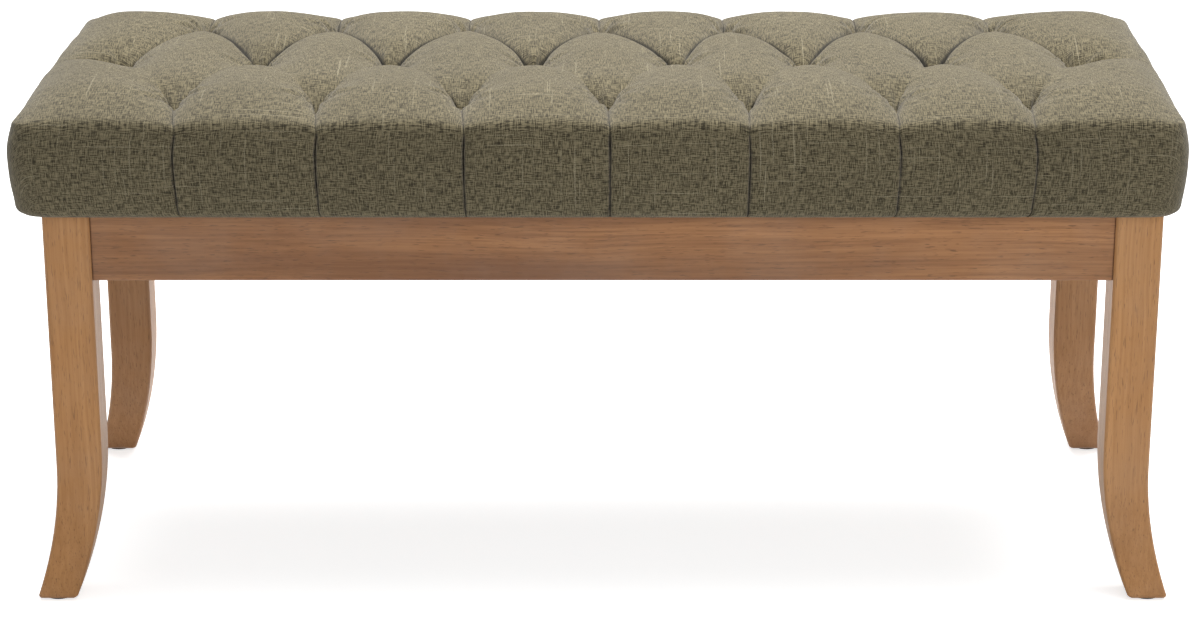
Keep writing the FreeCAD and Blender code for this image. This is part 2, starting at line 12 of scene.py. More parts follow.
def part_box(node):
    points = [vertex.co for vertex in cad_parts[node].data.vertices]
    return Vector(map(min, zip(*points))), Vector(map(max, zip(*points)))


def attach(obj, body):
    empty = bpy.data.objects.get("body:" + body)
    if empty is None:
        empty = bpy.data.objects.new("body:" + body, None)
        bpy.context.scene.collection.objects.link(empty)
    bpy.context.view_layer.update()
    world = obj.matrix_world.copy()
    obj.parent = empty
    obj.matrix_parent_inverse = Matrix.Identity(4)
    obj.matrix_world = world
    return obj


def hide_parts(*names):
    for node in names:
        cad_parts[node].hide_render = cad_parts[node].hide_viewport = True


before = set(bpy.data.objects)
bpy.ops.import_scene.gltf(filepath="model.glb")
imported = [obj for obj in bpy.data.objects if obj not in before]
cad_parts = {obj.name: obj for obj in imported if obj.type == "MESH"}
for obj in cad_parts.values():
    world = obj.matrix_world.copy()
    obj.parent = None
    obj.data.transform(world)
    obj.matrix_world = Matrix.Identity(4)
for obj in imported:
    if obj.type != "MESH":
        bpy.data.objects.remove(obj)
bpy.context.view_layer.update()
MM = 0.001
BODY = "root"
CORNERS = ("front_left", "front_right", "back_left", "back_right")
log = logging.getLogger("bench")


class Axis(Enum):
    """The way that wood grain runs."""

    X = 0
    Y = 1
    Z = 2


class Nodes:
    """A node tree under construction, of a material or of a shared group."""

    def __init__(self, tree: NodeTree) -> None:
        """Start on a tree.

        Args:
            tree: The tree that gets the nodes.
        """
        self.tree = tree

    def add(self, kind: str, props: dict | None = None, **inputs: object) -> Node:
        """Add a node.

        Args:
            kind: The node type, without its ShaderNode prefix.
            props: Attributes to set on the node.
            inputs: Socket names, with _ for a space, or i and a socket's number, and what goes in.

        Returns:
            The new node.
        """
        node = self.tree.nodes.new(f"ShaderNode{kind}")
        for name, value in (props or {}).items():
            setattr(node, name, value)
        for name, value in inputs.items():
            key = int(name[1:]) if name[0] == "i" and name[1:].isdigit() else name.replace("_", " ")
            self.feed(node.inputs[key], value)
        return node

    def feed(self, socket: NodeSocket, value: object) -> None:
        """Link or set one socket.

        Args:
            socket: The input to feed.
            value: A socket to link from, or a constant.
        """
        if isinstance(value, NodeSocket):
            self.tree.links.new(value, socket)
        else:
            socket.default_value = value

    def maths(self, operation: str, a: object, b: object = 0.0) -> NodeSocket:
        """Add a Math node and return its output."""
        return self.add("Math", {"operation": operation}, i0=a, i1=b).outputs[0]

    def ramp(self, value: object, low: float, high: float, out: tuple = (0.0, 1.0)) -> NodeSocket:
        """Map a range of a value smoothly to another and return the output."""
        node = self.add(
            "MapRange",
            {"interpolation_type": "SMOOTHSTEP"},
            Value=value,
            From_Min=low,
            From_Max=high,
            To_Min=out[0],
            To_Max=out[1],
        )
        return node.outputs[0]

    def mix(self, factor: object, a: object, b: object, blend: str = "MIX") -> NodeSocket:
        """Mix two colours and return the result."""
        node = self.add("Mix", {"data_type": "RGBA", "blend_type": blend}, i0=factor, i6=a, i7=b)
        return node.outputs[2]

    def stretched(self, coordinate: object, scale: tuple) -> NodeSocket:
        """Scale a coordinate and return the output."""
        return self.add("Mapping", None, Vector=coordinate, Scale=scale).outputs[0]

    def noise(self, place: object, scale: float, detail: float = 2.0, rough: float = 0.5) -> NodeSocket:
        """Add a Noise Texture and return its value."""
        node = self.add("TexNoise", None, Vector=place, Scale=scale, Detail=detail, Roughness=rough)
        return node.outputs[0]

    def swayed(self, place: object, by: object, scale: float, reach: float) -> NodeSocket:
        """Push a coordinate sideways by a noise over another and return the output."""
        push = self.add("TexNoise", None, Vector=by, Scale=scale, Detail=2.0).outputs[1]
        adding = {"operation": "MULTIPLY_ADD"}
        return self.add("VectorMath", adding, i0=push, i1=(reach, reach, 0.0), i2=place).outputs[0]

    def looked_at(self) -> NodeSocket:
        """1 where the camera, a reflection or glass looks, and 0 where only light arrives."""
        path = self.add("LightPath")
        seen = self.maths("MAXIMUM", path.outputs["Is Camera Ray"], path.outputs["Is Glossy Ray"])
        return self.maths("MAXIMUM", seen, path.outputs["Is Transmission Ray"])

    def group(self, tree: NodeTree, **inputs: object) -> Node:
        """Place a shared group, with its inputs."""
        return self.add("Group", {"node_tree": tree}, **inputs)

    def relief(self, shader: Node, height: object, strength: float, distance: float) -> Node:
        """Raise a shader's surface by a height and return the Bump node."""
        bump = self.add("Bump", None, Height=height, Strength=strength, Distance=distance)
        self.feed(shader.inputs["Normal"], bump.outputs[0])
        return bump


def shared_group(name: str, inputs: dict, outputs: dict) -> tuple:
    """Make a shader node group.

    Args:
        name: The group's name.
        inputs: Input names with a default each: a number, a vector or a colour.
        outputs: Output names with their kind, Float, Color or Vector.

    Returns:
        The group, its builder, its inputs by name, and the group output node.
    """
    tree = bpy.data.node_groups.new(name, "ShaderNodeTree")
    for label, value in inputs.items():
        kind = "NodeSocketFloat"
        if isinstance(value, tuple):
            kind = "NodeSocketColor" if len(value) == 4 else "NodeSocketVector"
        socket = tree.interface.new_socket(label, in_out="INPUT", socket_type=kind)
        socket.default_value = value
    for label, kind in outputs.items():
        tree.interface.new_socket(label, in_out="OUTPUT", socket_type=f"NodeSocket{kind}")
    build = Nodes(tree)
    source = tree.nodes.new("NodeGroupInput")
    sink = tree.nodes.new("NodeGroupOutput")
    return tree, build, {label: source.outputs[label] for label in inputs}, sink


def srgb(red: float, green: float, blue: float) -> tuple[float, float, float, float]:
    """A colour written in 0 to 255 as it looks, as the renderer's linear values."""
    return tuple(((c / 255 + 0.055) / 1.055) ** 2.4 for c in (red, green, blue)) + (1.0,)


def grain_tree() -> NodeTree:
    """Build the wood grain group, with the grain along its Z.

    Returns:
        The group, which puts out colour, roughness and height.
    """
    inputs = {
        "Position": (0.0, 0.0, 0.0),
        "Light": (0.5, 0.3, 0.2, 1.0),
        "Dark": (0.3, 0.2, 0.1, 1.0),
        "Pore": (0.1, 0.05, 0.02, 1.0),
        "Figure": 0.5,
        "Pores": 0.5,
    }
    outputs = {"Color": "Color", "Roughness": "Float", "Height": "Float"}
    tree, n, given, out = shared_group("WoodGrain", inputs, outputs)
    place = given["Position"]
    bent = n.swayed(place, n.stretched(place, (2.0, 2.0, 0.7)), 3.0, 0.03)
    bands = n.noise(n.stretched(bent, (26.0, 26.0, 1.1)), 1.0, 4.0, 0.55)
    broad = n.noise(n.stretched(bent, (9.0, 9.0, 1.6)), 1.0, 2.0, 0.5)
    fibres = n.noise(n.stretched(bent, (420.0, 420.0, 9.0)), 1.0, 3.0, 0.6)
    streaks = n.noise(n.stretched(bent, (1300.0, 1300.0, 90.0)), 1.0, 1.0, 0.5)
    figure = n.maths("ADD", n.ramp(bands, 0.3, 0.7), n.ramp(broad, 0.3, 0.7))
    shade = n.maths("MULTIPLY", figure, n.maths("MULTIPLY", given["Figure"], 0.5))
    base = n.mix(shade, given["Light"], given["Dark"])
    fine = n.mix(n.ramp(fibres, 0.25, 0.75, (0.0, 0.6)), base, given["Dark"])
    pore = n.maths("MULTIPLY", n.ramp(streaks, 0.62, 0.72), given["Pores"])
    n.feed(out.inputs["Color"], n.mix(pore, fine, given["Pore"]))
    n.feed(out.inputs["Roughness"], n.ramp(fibres, 0.2, 0.8, (0.42, 0.56)))
    height = n.maths("SUBTRACT", n.maths("MULTIPLY", fibres, 0.35), pore)
    n.feed(out.inputs["Height"], height)
    return tree


def weave_tree() -> NodeTree:
    """Build the plain weave group, on a flat coordinate in metres.

    Returns:
        The group, which puts out colour and height.
    """
    inputs = {
        "Position": (0.0, 0.0, 0.0),
        "Yarn": (0.2, 0.2, 0.1, 1.0),
        "Shadow": (0.1, 0.1, 0.05, 1.0),
        "Slub": (0.4, 0.4, 0.3, 1.0),
        "Pitch": 1000.0,
        "Slubs": 0.5,
    }
    tree, n, given, out = shared_group("PlainWeave", inputs, {"Color": "Color", "Height": "Float"})
    place = n.swayed(given["Position"], given["Position"], 60.0, 0.0012)
    parts = n.add("SeparateXYZ", None, Vector=place)
    over = []
    for axis in ("X", "Y"):
        turns = n.maths("MULTIPLY", parts.outputs[axis], given["Pitch"])
        over.append(n.maths("SINE", n.maths("MULTIPLY", turns, math.pi)))
    relief = n.maths("ABSOLUTE", n.maths("MULTIPLY", over[0], over[1]))
    warp = n.noise(n.stretched(place, (1300.0, 140.0, 1.0)), 1.0, 2.0, 0.6)
    weft = n.noise(n.stretched(place, (120.0, 1300.0, 1.0)), 1.0, 2.0, 0.6)
    lines = n.maths("ADD", warp, weft)
    mottle = n.noise(n.stretched(place, (1500.0, 1900.0, 1.0)), 1.0, 2.0, 0.7)
    tone = n.maths("ADD", n.maths("MULTIPLY", lines, 0.75), n.maths("MULTIPLY", mottle, 0.25))
    yarn = n.mix(n.ramp(tone, 0.73, 1.02), given["Shadow"], given["Yarn"])
    yarn = n.mix(n.ramp(relief, 0.0, 0.5, (0.5, 0.0)), yarn, given["Shadow"])
    slubs = []
    for along in ((500.0, 11.0, 1.0), (9.0, 560.0, 1.0)):
        thick = n.noise(n.stretched(place, along), 1.0, 1.0, 0.4)
        slubs.append(n.ramp(thick, 0.67, 0.75))
    slub = n.maths("MULTIPLY", n.maths("MAXIMUM", slubs[0], slubs[1]), given["Slubs"])
    slub = n.maths("MULTIPLY", slub, n.ramp(mottle, 0.4, 0.6))
    n.feed(out.inputs["Color"], n.mix(slub, yarn, given["Slub"]))
    height = n.maths("ADD", n.maths("MULTIPLY", relief, 0.5), n.maths("MULTIPLY", tone, 0.6))
    n.feed(out.inputs["Height"], n.maths("ADD", height, n.maths("MULTIPLY", slub, 0.6)))
    return tree


def dust_tree() -> NodeTree:
    """Build the group that dulls and lightens a surface unevenly, as handling and dust do.

    Returns:
        The group, which puts out colour and roughness.
    """
    inputs = {"Position": (0.0, 0.0, 0.0), "Color": (0.5, 0.5, 0.5, 1.0), "Roughness": 0.5, "Amount": 0.2}
    tree, n, given, out = shared_group("Handling", inputs, {"Color": "Color", "Roughness": "Float"})
    cloud = n.noise(given["Position"], 14.0, 4.0, 0.6)
    amount = n.maths("MULTIPLY", n.ramp(cloud, 0.35, 0.75), given["Amount"])
    pale = n.mix(amount, given["Color"], (0.6, 0.57, 0.52, 1.0))
    n.feed(out.inputs["Color"], pale)
    n.feed(out.inputs["Roughness"], n.maths("ADD", given["Roughness"], n.maths("MULTIPLY", amount, 0.5)))
    return tree


GRAIN = grain_tree()
WEAVE = weave_tree()
HANDLING = dust_tree()


def new_material(name: str) -> tuple[Material, Nodes, Node]:
    """Make an empty node material.

    Args:
        name: The material's name.

    Returns:
        The material, its builder and its Principled BSDF.
    """
    material = bpy.data.materials.new(name)
    material.use_nodes = True
    return material, Nodes(material.node_tree), material.node_tree.nodes["Principled BSDF"]


@dataclass(frozen=True)
class WoodFinish:
    """Stained or bare wood, with its grain along one axis, and painted shade at a rail's ends where the legs
    meet it.
    """

    name: str
    along: Axis
    light: tuple
    dark: tuple
    pore: tuple
    figure: float = 0.5
    pores: float = 0.5
    rough: float = 0.0
    corner: float = 0.0
    offset: tuple = (0.0, 0.0, 0.0)
    # Where the rail meets the legs its ends get painted shade, darkest at this distance from its middle.
    joint: float = 0.0
    joint_width: float = 0.0016

    def material(self) -> Material:
        """Build the material."""
        made, n, shader = new_material(self.name)
        place = n.add("TexCoord").outputs["Object"]
        square = math.pi / 2
        turn = {Axis.X: (0.0, square, 0.0), Axis.Y: (square, 0.0, 0.0), Axis.Z: (0.0, 0.0, 0.0)}[self.along]
        lined = n.add("Mapping", None, Vector=place, Location=self.offset, Rotation=turn).outputs[0]
        grain = n.group(
            GRAIN,
            Position=lined,
            Light=self.light,
            Dark=self.dark,
            Pore=self.pore,
            Figure=self.figure,
            Pores=self.pores,
        )
        worn = n.group(
            HANDLING,
            Position=place,
            Color=grain.outputs["Color"],
            Roughness=n.maths("ADD", grain.outputs["Roughness"], self.rough),
            Amount=0.05,
        )
        shown = worn.outputs["Color"]
        # Painted shade: the ends of a rail darken where they sit back behind the legs.
        if self.joint:
            along = n.maths("ABSOLUTE", n.add("SeparateXYZ", None, Vector=place).outputs[self.along.value])
            painted_joint_shade = n.ramp(along, self.joint - self.joint_width, self.joint, (0.0, 0.75))
            shown = n.mix(painted_joint_shade, shown, self.pore, "MULTIPLY")
        n.feed(shader.inputs["Base Color"], shown)
        n.feed(shader.inputs["Roughness"], worn.outputs["Roughness"])
        shader.inputs["Specular IOR Level"].default_value = 0.4
        bump = n.relief(shader, grain.outputs["Height"], 0.25, 0.0003)
        if self.corner:
            bevel = n.add("Bevel", {"samples": 6}, Radius=self.corner)
            n.feed(bump.inputs["Normal"], bevel.outputs[0])
        return made


@dataclass(frozen=True)
class LinenFinish:
    """Linen-look cloth, woven flat and carried by the piece's own UV map, with painted shade inside its
    folds.
    """

    name: str
    yarn: tuple
    shadow: tuple
    slub: tuple
    pitch: float = 1100.0
    slubs: float = 0.8
    sheen: float = 0.2

    def material(self) -> Material:
        """Build the material."""
        made, n, shader = new_material(self.name)
        flat = n.add("UVMap", {"uv_map": "cloth"}).outputs[0]
        place = n.add("TexCoord").outputs["Object"]
        weave = n.group(
            WEAVE,
            Position=flat,
            Yarn=self.yarn,
            Shadow=self.shadow,
            Slub=self.slub,
            Pitch=self.pitch,
            Slubs=self.slubs,
        )
        cloud = n.noise(place, 9.0, 3.0, 0.55)
        tone = n.mix(n.ramp(cloud, 0.3, 0.7, (0.0, 0.12)), weave.outputs["Color"], self.shadow)
        # Painted shade: folds, pleats and tufts darken to near black, following the fold_shade attribute.
        fold = n.add("Attribute", {"attribute_name": "fold_shade"}).outputs["Fac"]
        tone = n.mix(n.ramp(fold, 0.25, 1.0, (0.0, 0.9)), tone, (0.004, 0.0035, 0.002, 1.0))
        n.feed(shader.inputs["Base Color"], tone)
        shader.inputs["Roughness"].default_value = 0.92
        shader.inputs["Specular IOR Level"].default_value = 0.15
        shader.inputs["Sheen Weight"].default_value = self.sheen
        shader.inputs["Sheen Roughness"].default_value = 0.55
        shader.inputs["Sheen Tint"].default_value = (1.0, 0.96, 0.9, 1.0)
        n.relief(shader, weave.outputs["Height"], 0.5, 0.0004)
        return made


@dataclass(frozen=True)
class PlainFinish:
    """Metal, plastic, foam or felt: a base colour with fine mottling and relief."""

    name: str
    color: tuple
    other: tuple
    metal: float = 0.0
    rough: float = 0.5
    grain: float = 600.0
    stretch: tuple = (1.0, 1.0, 1.0)
    relief: float = 0.0002

    def material(self) -> Material:
        """Build the material."""
        made, n, shader = new_material(self.name)
        place = n.add("TexCoord").outputs["Object"]
        speckle = n.noise(n.stretched(place, self.stretch), self.grain, 3.0, 0.6)
        tone = n.mix(n.ramp(speckle, 0.3, 0.7), self.color, self.other)
        worn = n.group(HANDLING, Position=place, Color=tone, Roughness=self.rough, Amount=0.08)
        n.feed(shader.inputs["Base Color"], worn.outputs["Color"])
        n.feed(shader.inputs["Roughness"], worn.outputs["Roughness"])
        shader.inputs["Metallic"].default_value = self.metal
        n.relief(shader, speckle, 0.4, self.relief)
        return made


def paint(node: str, material: Material) -> None:
    """Give a carried-over CAD node a finish.

    Args:
        node: The node's name.
        material: The finish.
    """
    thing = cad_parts[node]
    thing.data.materials.clear()
    thing.data.materials.append(material)


def finish_piece(piece: Object, material: Material) -> None:
    """Give a new piece its finish and let it ride on the bench.

    Args:
        piece: The new piece.
        material: The finish.
    """
    piece.data.materials.clear()
    piece.data.materials.append(material)
    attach(piece, BODY)
    log.info("%s: %d faces", piece.name, len(piece.data.polygons))


def mesh_object(name: str, places: np.ndarray, faces: list) -> Object:
    """Make an object from vertices and faces.

    Args:
        name: The object's name.
        places: Vertex positions in metres.
        faces: Faces as tuples of vertex numbers.

    Returns:
        The object, linked to the scene.
    """
    mesh = bpy.data.meshes.new(name)
    mesh.from_pydata([tuple(p) for p in places], [], faces)
    mesh.update()
    thing = bpy.data.objects.new(name, mesh)
    bpy.context.scene.collection.objects.link(thing)
    return thing


def only(thing: Object) -> None:
    """Select one object and make it active."""
    bpy.ops.object.select_all(action="DESELECT")
    thing.select_set(True)
    bpy.context.view_layer.objects.active = thing


def modify(piece: Object, kind: str, **values: object) -> None:
    """Add a modifier to the active piece, set it and apply it.

    Args:
        piece: The piece.
        kind: The modifier's type.
        values: Attributes to set on it.
    """
    modifier = piece.modifiers.new(kind.title(), kind)
    for name, value in values.items():
        setattr(modifier, name, value)
    bpy.ops.object.modifier_apply(modifier=modifier.name)


def repeated(first: Object, name: str, spots: list) -> Object:
    """Copy a piece to many places and join the copies, with their places in the mesh.

    Args:
        first: The piece, modelled at the origin, which is removed.
        name: The joined object's name.
        spots: A place, and a turn about the upright axis, for each copy.

    Returns:
        The joined object.
    """
    bpy.ops.object.select_all(action="DESELECT")
    copies = []
    for place, turn in spots:
        copy = first.copy()
        copy.data = first.data.copy()
        bpy.context.scene.collection.objects.link(copy)
        copy.rotation_euler[2] = turn
        copy.location = place
        copy.select_set(True)
        copies.append(copy)
    bpy.data.objects.remove(first)
    bpy.context.view_layer.objects.active = copies[0]
    bpy.ops.object.join()
    bpy.ops.object.transform_apply(location=True, rotation=True, scale=True)
    copies[0].name = copies[0].data.name = name
    return copies[0]


@dataclass
class Layer:
    """Vertices of the cushion, with their flat place on the cloth and what each carries."""

    places: np.ndarray
    cloth: np.ndarray
    crease: np.ndarray
    # How much painted shade each vertex gets in its folds.
    dark: np.ndarray
    held: np.ndarray

    @classmethod
    def joined(cls, layers: list) -> "Layer":
        """All layers as one."""
        return cls(*(np.concatenate([getattr(x, part.name) for x in layers]) for part in fields(cls)))


@dataclass
class TuftedCushion:
    """The padded cover: quilted top, pleated band and turned-in underside. Sizes in millimetres."""

    half_length: float = 509.0
    half_depth: float = 203.0
    band_heights: tuple = (434.0, 430.0, 425.0, 419.0, 413.0, 405.0, 396.0, 387.0, 378.0, 370.0)
    band_foot: float = 370.0
    underside: float = 356.0
    top: float = 460.0
    fold_height: float = 437.0
    fold_inset: float = 4.0
    fold_curve: float = 1.6
    bulge_height: float = 413.0
    band_lean: float = 3.0
    bottom_round: float = 10.0
    corner_round: float = 22.0
    inner_round: float = 10.0
    crown_reach: float = 76.0
    fold_round: float = 5.0
    fold_share: float = 0.26
    end_drift: float = 4.5
    end_reach: float = 50.0
    pitch: float = 124.8
    row: float = 130.0
    count: int = 7
    crease_depth: float = 15.0
    pit_depth: float = 11.0
    pit_hole: float = 12.0
    pit_reach: float = 36.0
    pit_width: float = 9.0
    # Away from the tufts a crease grows shallower and wider, less so behind the middle row,
    # where the puffs are fuller, and not at all past the outer rows.
    ease_zone: tuple = (12.0, 55.0)
    ease_depth: float = 0.55
    ease_width: float = 1.8
    back_zone: tuple = (5.0, 50.0)
    back_firm: float = 0.75
    full_zone: tuple = (10.0, 60.0)
    back_full: float = 0.35
    row_zone: tuple = (-12.0, 8.0)
    # How much painted shade the folds get: faint on the front creases, strong near and in the tufts.
    shade_zone: tuple = (10.0, 34.0)
    front_shade: float = 0.2
    tuft_shade: float = 0.8
    tuft_width: float = 4.5
    edge_dip: float = 5.0
    pleat_depth: float = 4.5
    pleat_hold: float = 0.9
    hollow: float = 2.0
    sag_reach: float = 30.0
    puff_frames: int = 20
    puff_pressure: float = 4.0
    puff_cap: float = 6.0
    # Height, ring and width of the gathers round a tuft, then height and scale of the lumps.
    gather: float = 1.3
    gather_ring: float = 17.0
    gather_width: float = 12.0
    lump: float = 1.2
    lump_scale: float = 16.0
    dimple: float = 0.35
    dimple_scale: float = 45.0
    rim_zone: float = 40.0
    cell_steps: int = 24
    edge_shares: tuple = (0, 0.02, 0.06, 0.12, 0.19, 0.27, 0.36, 0.46, 0.57, 0.68, 0.79, 0.9, 1)
    end_shares: tuple = (0.0, 0.006, 0.019, 0.043, 0.09, 0.15, 0.22, 0.3, 0.39, 0.48)
    end_shares_out: tuple = (0.57, 0.66, 0.745, 0.82, 0.88, 0.93, 0.965, 0.99, 1.0)
    front_drift: tuple = (0.8, 0.1, 1.9, 3.8, 2.1, 5.7, -1.2)
    middle_drift: tuple = (-2.0, -1.7, -6.9, -1.2, 5.4, -3.5, -9.0, -3.9)
    front_foot: tuple = (-364.6, -244.2, -118.4, 6.3, 125.5, 253.8, 370.7)
    back_drift: tuple = (-2.8, -4.0, -3.3, -3.6, -9.0, -7.1, -6.4)
    mouth_inset: float = 46.0
    wall_inset: float = 18.0
    hem: float = 14.0
    lip: float = 1.5
    hold: float = 40.0
    ceiling: float = 433.0
    points: list = field(default_factory=list)
    lookup: dict = field(default_factory=dict)
    faces: list = field(default_factory=list)

    def __post_init__(self) -> None:
        """Work out the outline and the tufts' places."""
        self.edge_x = self.half_length - self.fold_inset
        self.edge_y = self.half_depth - self.fold_inset
        outer = [(i - (self.count - 1) / 2) * self.pitch for i in range(self.count)]
        inner = [(i - self.count / 2) * self.pitch for i in range(self.count + 1)]
        self.front = [(x + d, -self.row) for x, d in zip(outer, self.front_drift)]
        self.middle = [(x + d, 0.0) for x, d in zip(inner, self.middle_drift)]
        self.back = [(x + d, self.row) for x, d in zip(outer, self.back_drift)]
        self.back_foot = [x for x, _ in self.back]
        self.steps = self.stations(self.cell_steps, (0.0065, 0.02, 0.045))

    @staticmethod
    def stations(count: int, near: tuple) -> list[float]:
        """Places from 0 to 1, close together near both ends.

        Args:
            count: How many steps.
            near: The first places after 0.

        Returns:
            The places, from 0 to 1.
        """
        inner = count - 2 * len(near)
        first, last = near[-1], 1 - near[-1]
        middle = [first + (last - first) * i / inner for i in range(1, inner)]
        return [0.0, *near, *middle, *(1 - p for p in reversed(near)), 1.0]

    def point(self, x: float, y: float, puff: float, crease: float) -> int:
        """The number of a vertex of the flat pattern, made if new.

        Args:
            x: Place along the seat.
            y: Place across the seat.
            puff: How far it rises from the crease line to the crown, 0 to 1.
            crease: 1 on a crease or pleat.

        Returns:
            The vertex's number.
        """
        column, line = round(x * 500), round(y * 500)
        near = [(column + i, line + j) for i in (0, -1, 1) for j in (0, -1, 1)]
        number = next((self.lookup[key] for key in near if key in self.lookup), len(self.points))
        if number == len(self.points):
            self.lookup[column, line] = number
            self.points.append([x, y, puff, crease])
        known = self.points[number]
        known[2] = min(known[2], puff)
        known[3] = max(known[3], crease)
        return number

    def face(self, *corners: int) -> None:
        """Keep a face, dropping corners that meet."""
        kept = [c for i, c in enumerate(corners) if c != corners[i - 1]]
        if len(kept) > 2:
            self.faces.append(tuple(kept))

    @staticmethod
    def between(a: tuple, b: tuple, t: float) -> tuple[float, float]:
        """A place on the line between two places."""
        return (a[0] + (b[0] - a[0]) * t, a[1] + (b[1] - a[1]) * t)

    @staticmethod
    def close(share: float) -> float:
        """1 on a crease, falling to 0 at a small share of a diamond's side away from it."""
        return max(0.0, 1 - share / 0.025)

    def diamonds(self) -> None:
        """Mesh the diamonds between the three rows."""
        for i in range(self.count):
            low, left, right, high = self.front[i], self.middle[i], self.middle[i + 1], self.back[i]
            grid = []
            for a in self.steps:
                line = []
                for b in self.steps:
                    near = self.between(low, right, a)
                    far = self.between(left, high, a)
                    x, y = self.between(near, far, b)
                    puff = (16 * a * (1 - a) * b * (1 - b)) ** 0.5
                    line.append(self.point(x, y, puff, self.close(min(a, b, 1 - a, 1 - b))))
                grid.append(line)
            for p, q in zip(grid, grid[1:]):
                for k in range(len(q) - 1):
                    self.face(p[k], q[k], q[k + 1], p[k + 1])

    def wedges(self, row: list, sign: int) -> None:
        """Mesh the triangles between an outer row and the middle row.

        Args:
            row: The outer row's tufts.
            sign: -1 for the front row, 1 for the back.
        """
        last = len(self.steps) - 1
        for i in range(self.count - 1):
            left, right, apex = row[i], row[i + 1], self.middle[i + 1]
            grid = {}
            for j, a in enumerate(self.steps):
                for k, b in enumerate(self.steps[: last - j + 1]):
                    x = apex[0] + a * (left[0] - apex[0]) + b * (right[0] - apex[0])
                    y = apex[1] + a * (left[1] - apex[1]) + b * (right[1] - apex[1])
                    share = a + b
                    across = 4 * a * b / share**2 if share else 0.0
                    puff = across**0.5 * (share * (2 - share)) ** 0.6
                    grid[j, k] = self.point(x, y, puff, self.close(min(a, b)))
            for j, k in list(grid):
                if j + k + 2 <= last:
                    corners = [grid[j, k], grid[j, k + 1], grid[j + 1, k + 1], grid[j + 1, k]]
                elif j + k + 1 <= last:
                    corners = [grid[j, k], grid[j, k + 1], grid[j + 1, k]]
                else:
                    continue
                self.face(*(corners if sign > 0 else reversed(corners)))

    def edge_rows(self) -> list[float]:
        """Distances in from the long edge, of the rows outside the tufts."""
        return [(self.edge_y - self.row) * share for share in self.edge_shares]

    def fill(self, grid: list, flip: bool) -> None:
        """Make faces between the rows of a grid.

        Args:
            grid: Rows of vertex numbers.
            flip: Whether the faces turn the other way.
        """
        for p, q in zip(grid, grid[1:]):
            for k in range(len(q) - 1):
                corners = (p[k], p[k + 1], q[k + 1], q[k])
                self.face(*(reversed(corners) if flip else corners))

    def pleat_place(self, row: list, feet: list, index: int, inset: float) -> float:
        """Where a pleat runs, between its tuft and its foot on the long edge."""
        share = inset / (self.edge_y - self.row)
        return feet[index] + (row[index][0] - feet[index]) * share**0.7

    def strips(self, row: list, feet: list, sign: int) -> None:
        """Mesh the puffs between pleats, from an outer row of tufts to the long edge.

        Args:
            row: The outer row's tufts.
            feet: Where their pleats meet the edge.
            sign: -1 for the front row, 1 for the back.
        """
        for i in range(self.count - 1):
            grid = []
            for inset in self.edge_rows():
                y = sign * (self.edge_y - inset)
                left, right = (self.pleat_place(row, feet, k, inset) for k in (i, i + 1))
                line = []
                for c in self.steps:
                    x = left + (right - left) * c
                    puff = (4 * c * (1 - c)) ** 0.5
                    line.append(self.point(x, y, puff, 1.0 if c in (0.0, 1.0) else 0.0))
                grid.append(line)
            self.fill(grid, sign > 0)

    def corners(self, row: list, feet: list, sign: int, end: int) -> None:
        """Mesh the cell at one corner, bounded by a pleat, a diagonal and the end pleat.

        Args:
            row: The outer row's tufts.
            feet: Where their pleats meet the edge.
            sign: -1 for the front, 1 for the back.
            end: -1 for the left end, 1 for the right.
        """
        last = len(row) - 1 if end > 0 else 0
        tuft = row[last]
        inner = self.middle[-1 if end > 0 else 0]
        rows = []
        for inset in self.edge_rows():
            rows.append((self.pleat_place(row, feet, last, inset), sign * (self.edge_y - inset)))
        rows += [self.between(tuft, inner, t) for t in self.steps[1:]]
        grid = []
        half_cell = self.pitch / 2
        for x0, y in rows:
            line = []
            for c in self.end_shares + self.end_shares_out:
                x = x0 + (end * self.edge_x - x0) * c
                near = min(abs(x - x0) / half_cell, 1.0)
                deep = min(abs(y) / half_cell, 1.0)
                puff = (near * (2 - near)) ** 0.5 * (deep * (2 - deep)) ** 0.5
                line.append(self.point(x, y, puff, 1.0 if c == 0.0 or y == 0.0 else 0.0))
            grid.append(line)
        self.fill(grid, sign * end > 0)

    @staticmethod
    def round_plan(x: np.ndarray, y: np.ndarray, half_x: float, half_y: float, radius: float) -> tuple:
        """Round the corners of a rectangle's plan by moving points in towards the arc.

        Args:
            x: Places along the seat.
            y: Places across it.
            half_x: Half the rectangle's length.
            half_y: Half its depth.
            radius: The corner radius.

        Returns:
            The new places, and the outward direction at each.
        """
        px = np.maximum(np.abs(x) - (half_x - radius), 0.0)
        py = np.maximum(np.abs(y) - (half_y - radius), 0.0)
        both = (px > 0) & (py > 0)
        reach = np.hypot(px, py)
        scale = np.where(both, np.maximum(px, py) / np.maximum(reach, 1e-9), 1.0)
        nx = np.sign(x) * (half_x - radius + px * scale)
        ny = np.sign(y) * (half_y - radius + py * scale)
        x = np.where(both, nx, x)
        y = np.where(both, ny, y)
        out_x = np.where(both, np.sign(x) * px / np.maximum(reach, 1e-9), 0.0)
        out_y = np.where(both, np.sign(y) * py / np.maximum(reach, 1e-9), 0.0)
        side = ~both & (np.abs(x) / half_x >= np.abs(y) / half_y)
        out_x = np.where(side, np.sign(x), out_x)
        out_y = np.where(~both & ~side, np.sign(y), out_y)
        return x, y, out_x, out_y

    def to_tufts(self, x: np.ndarray, y: np.ndarray) -> tuple[np.ndarray, np.ndarray, np.ndarray]:
        """The distance to the nearest tuft, its number, and the direction from it."""
        tufts = np.array(self.front + self.middle + self.back)
        gaps = np.hypot(x[:, None] - tufts[:, 0], y[:, None] - tufts[:, 1])
        nearest = np.argmin(gaps, axis=1)
        turn = np.arctan2(y - tufts[nearest, 1], x - tufts[nearest, 0])
        return gaps[np.arange(len(x)), nearest], nearest, turn

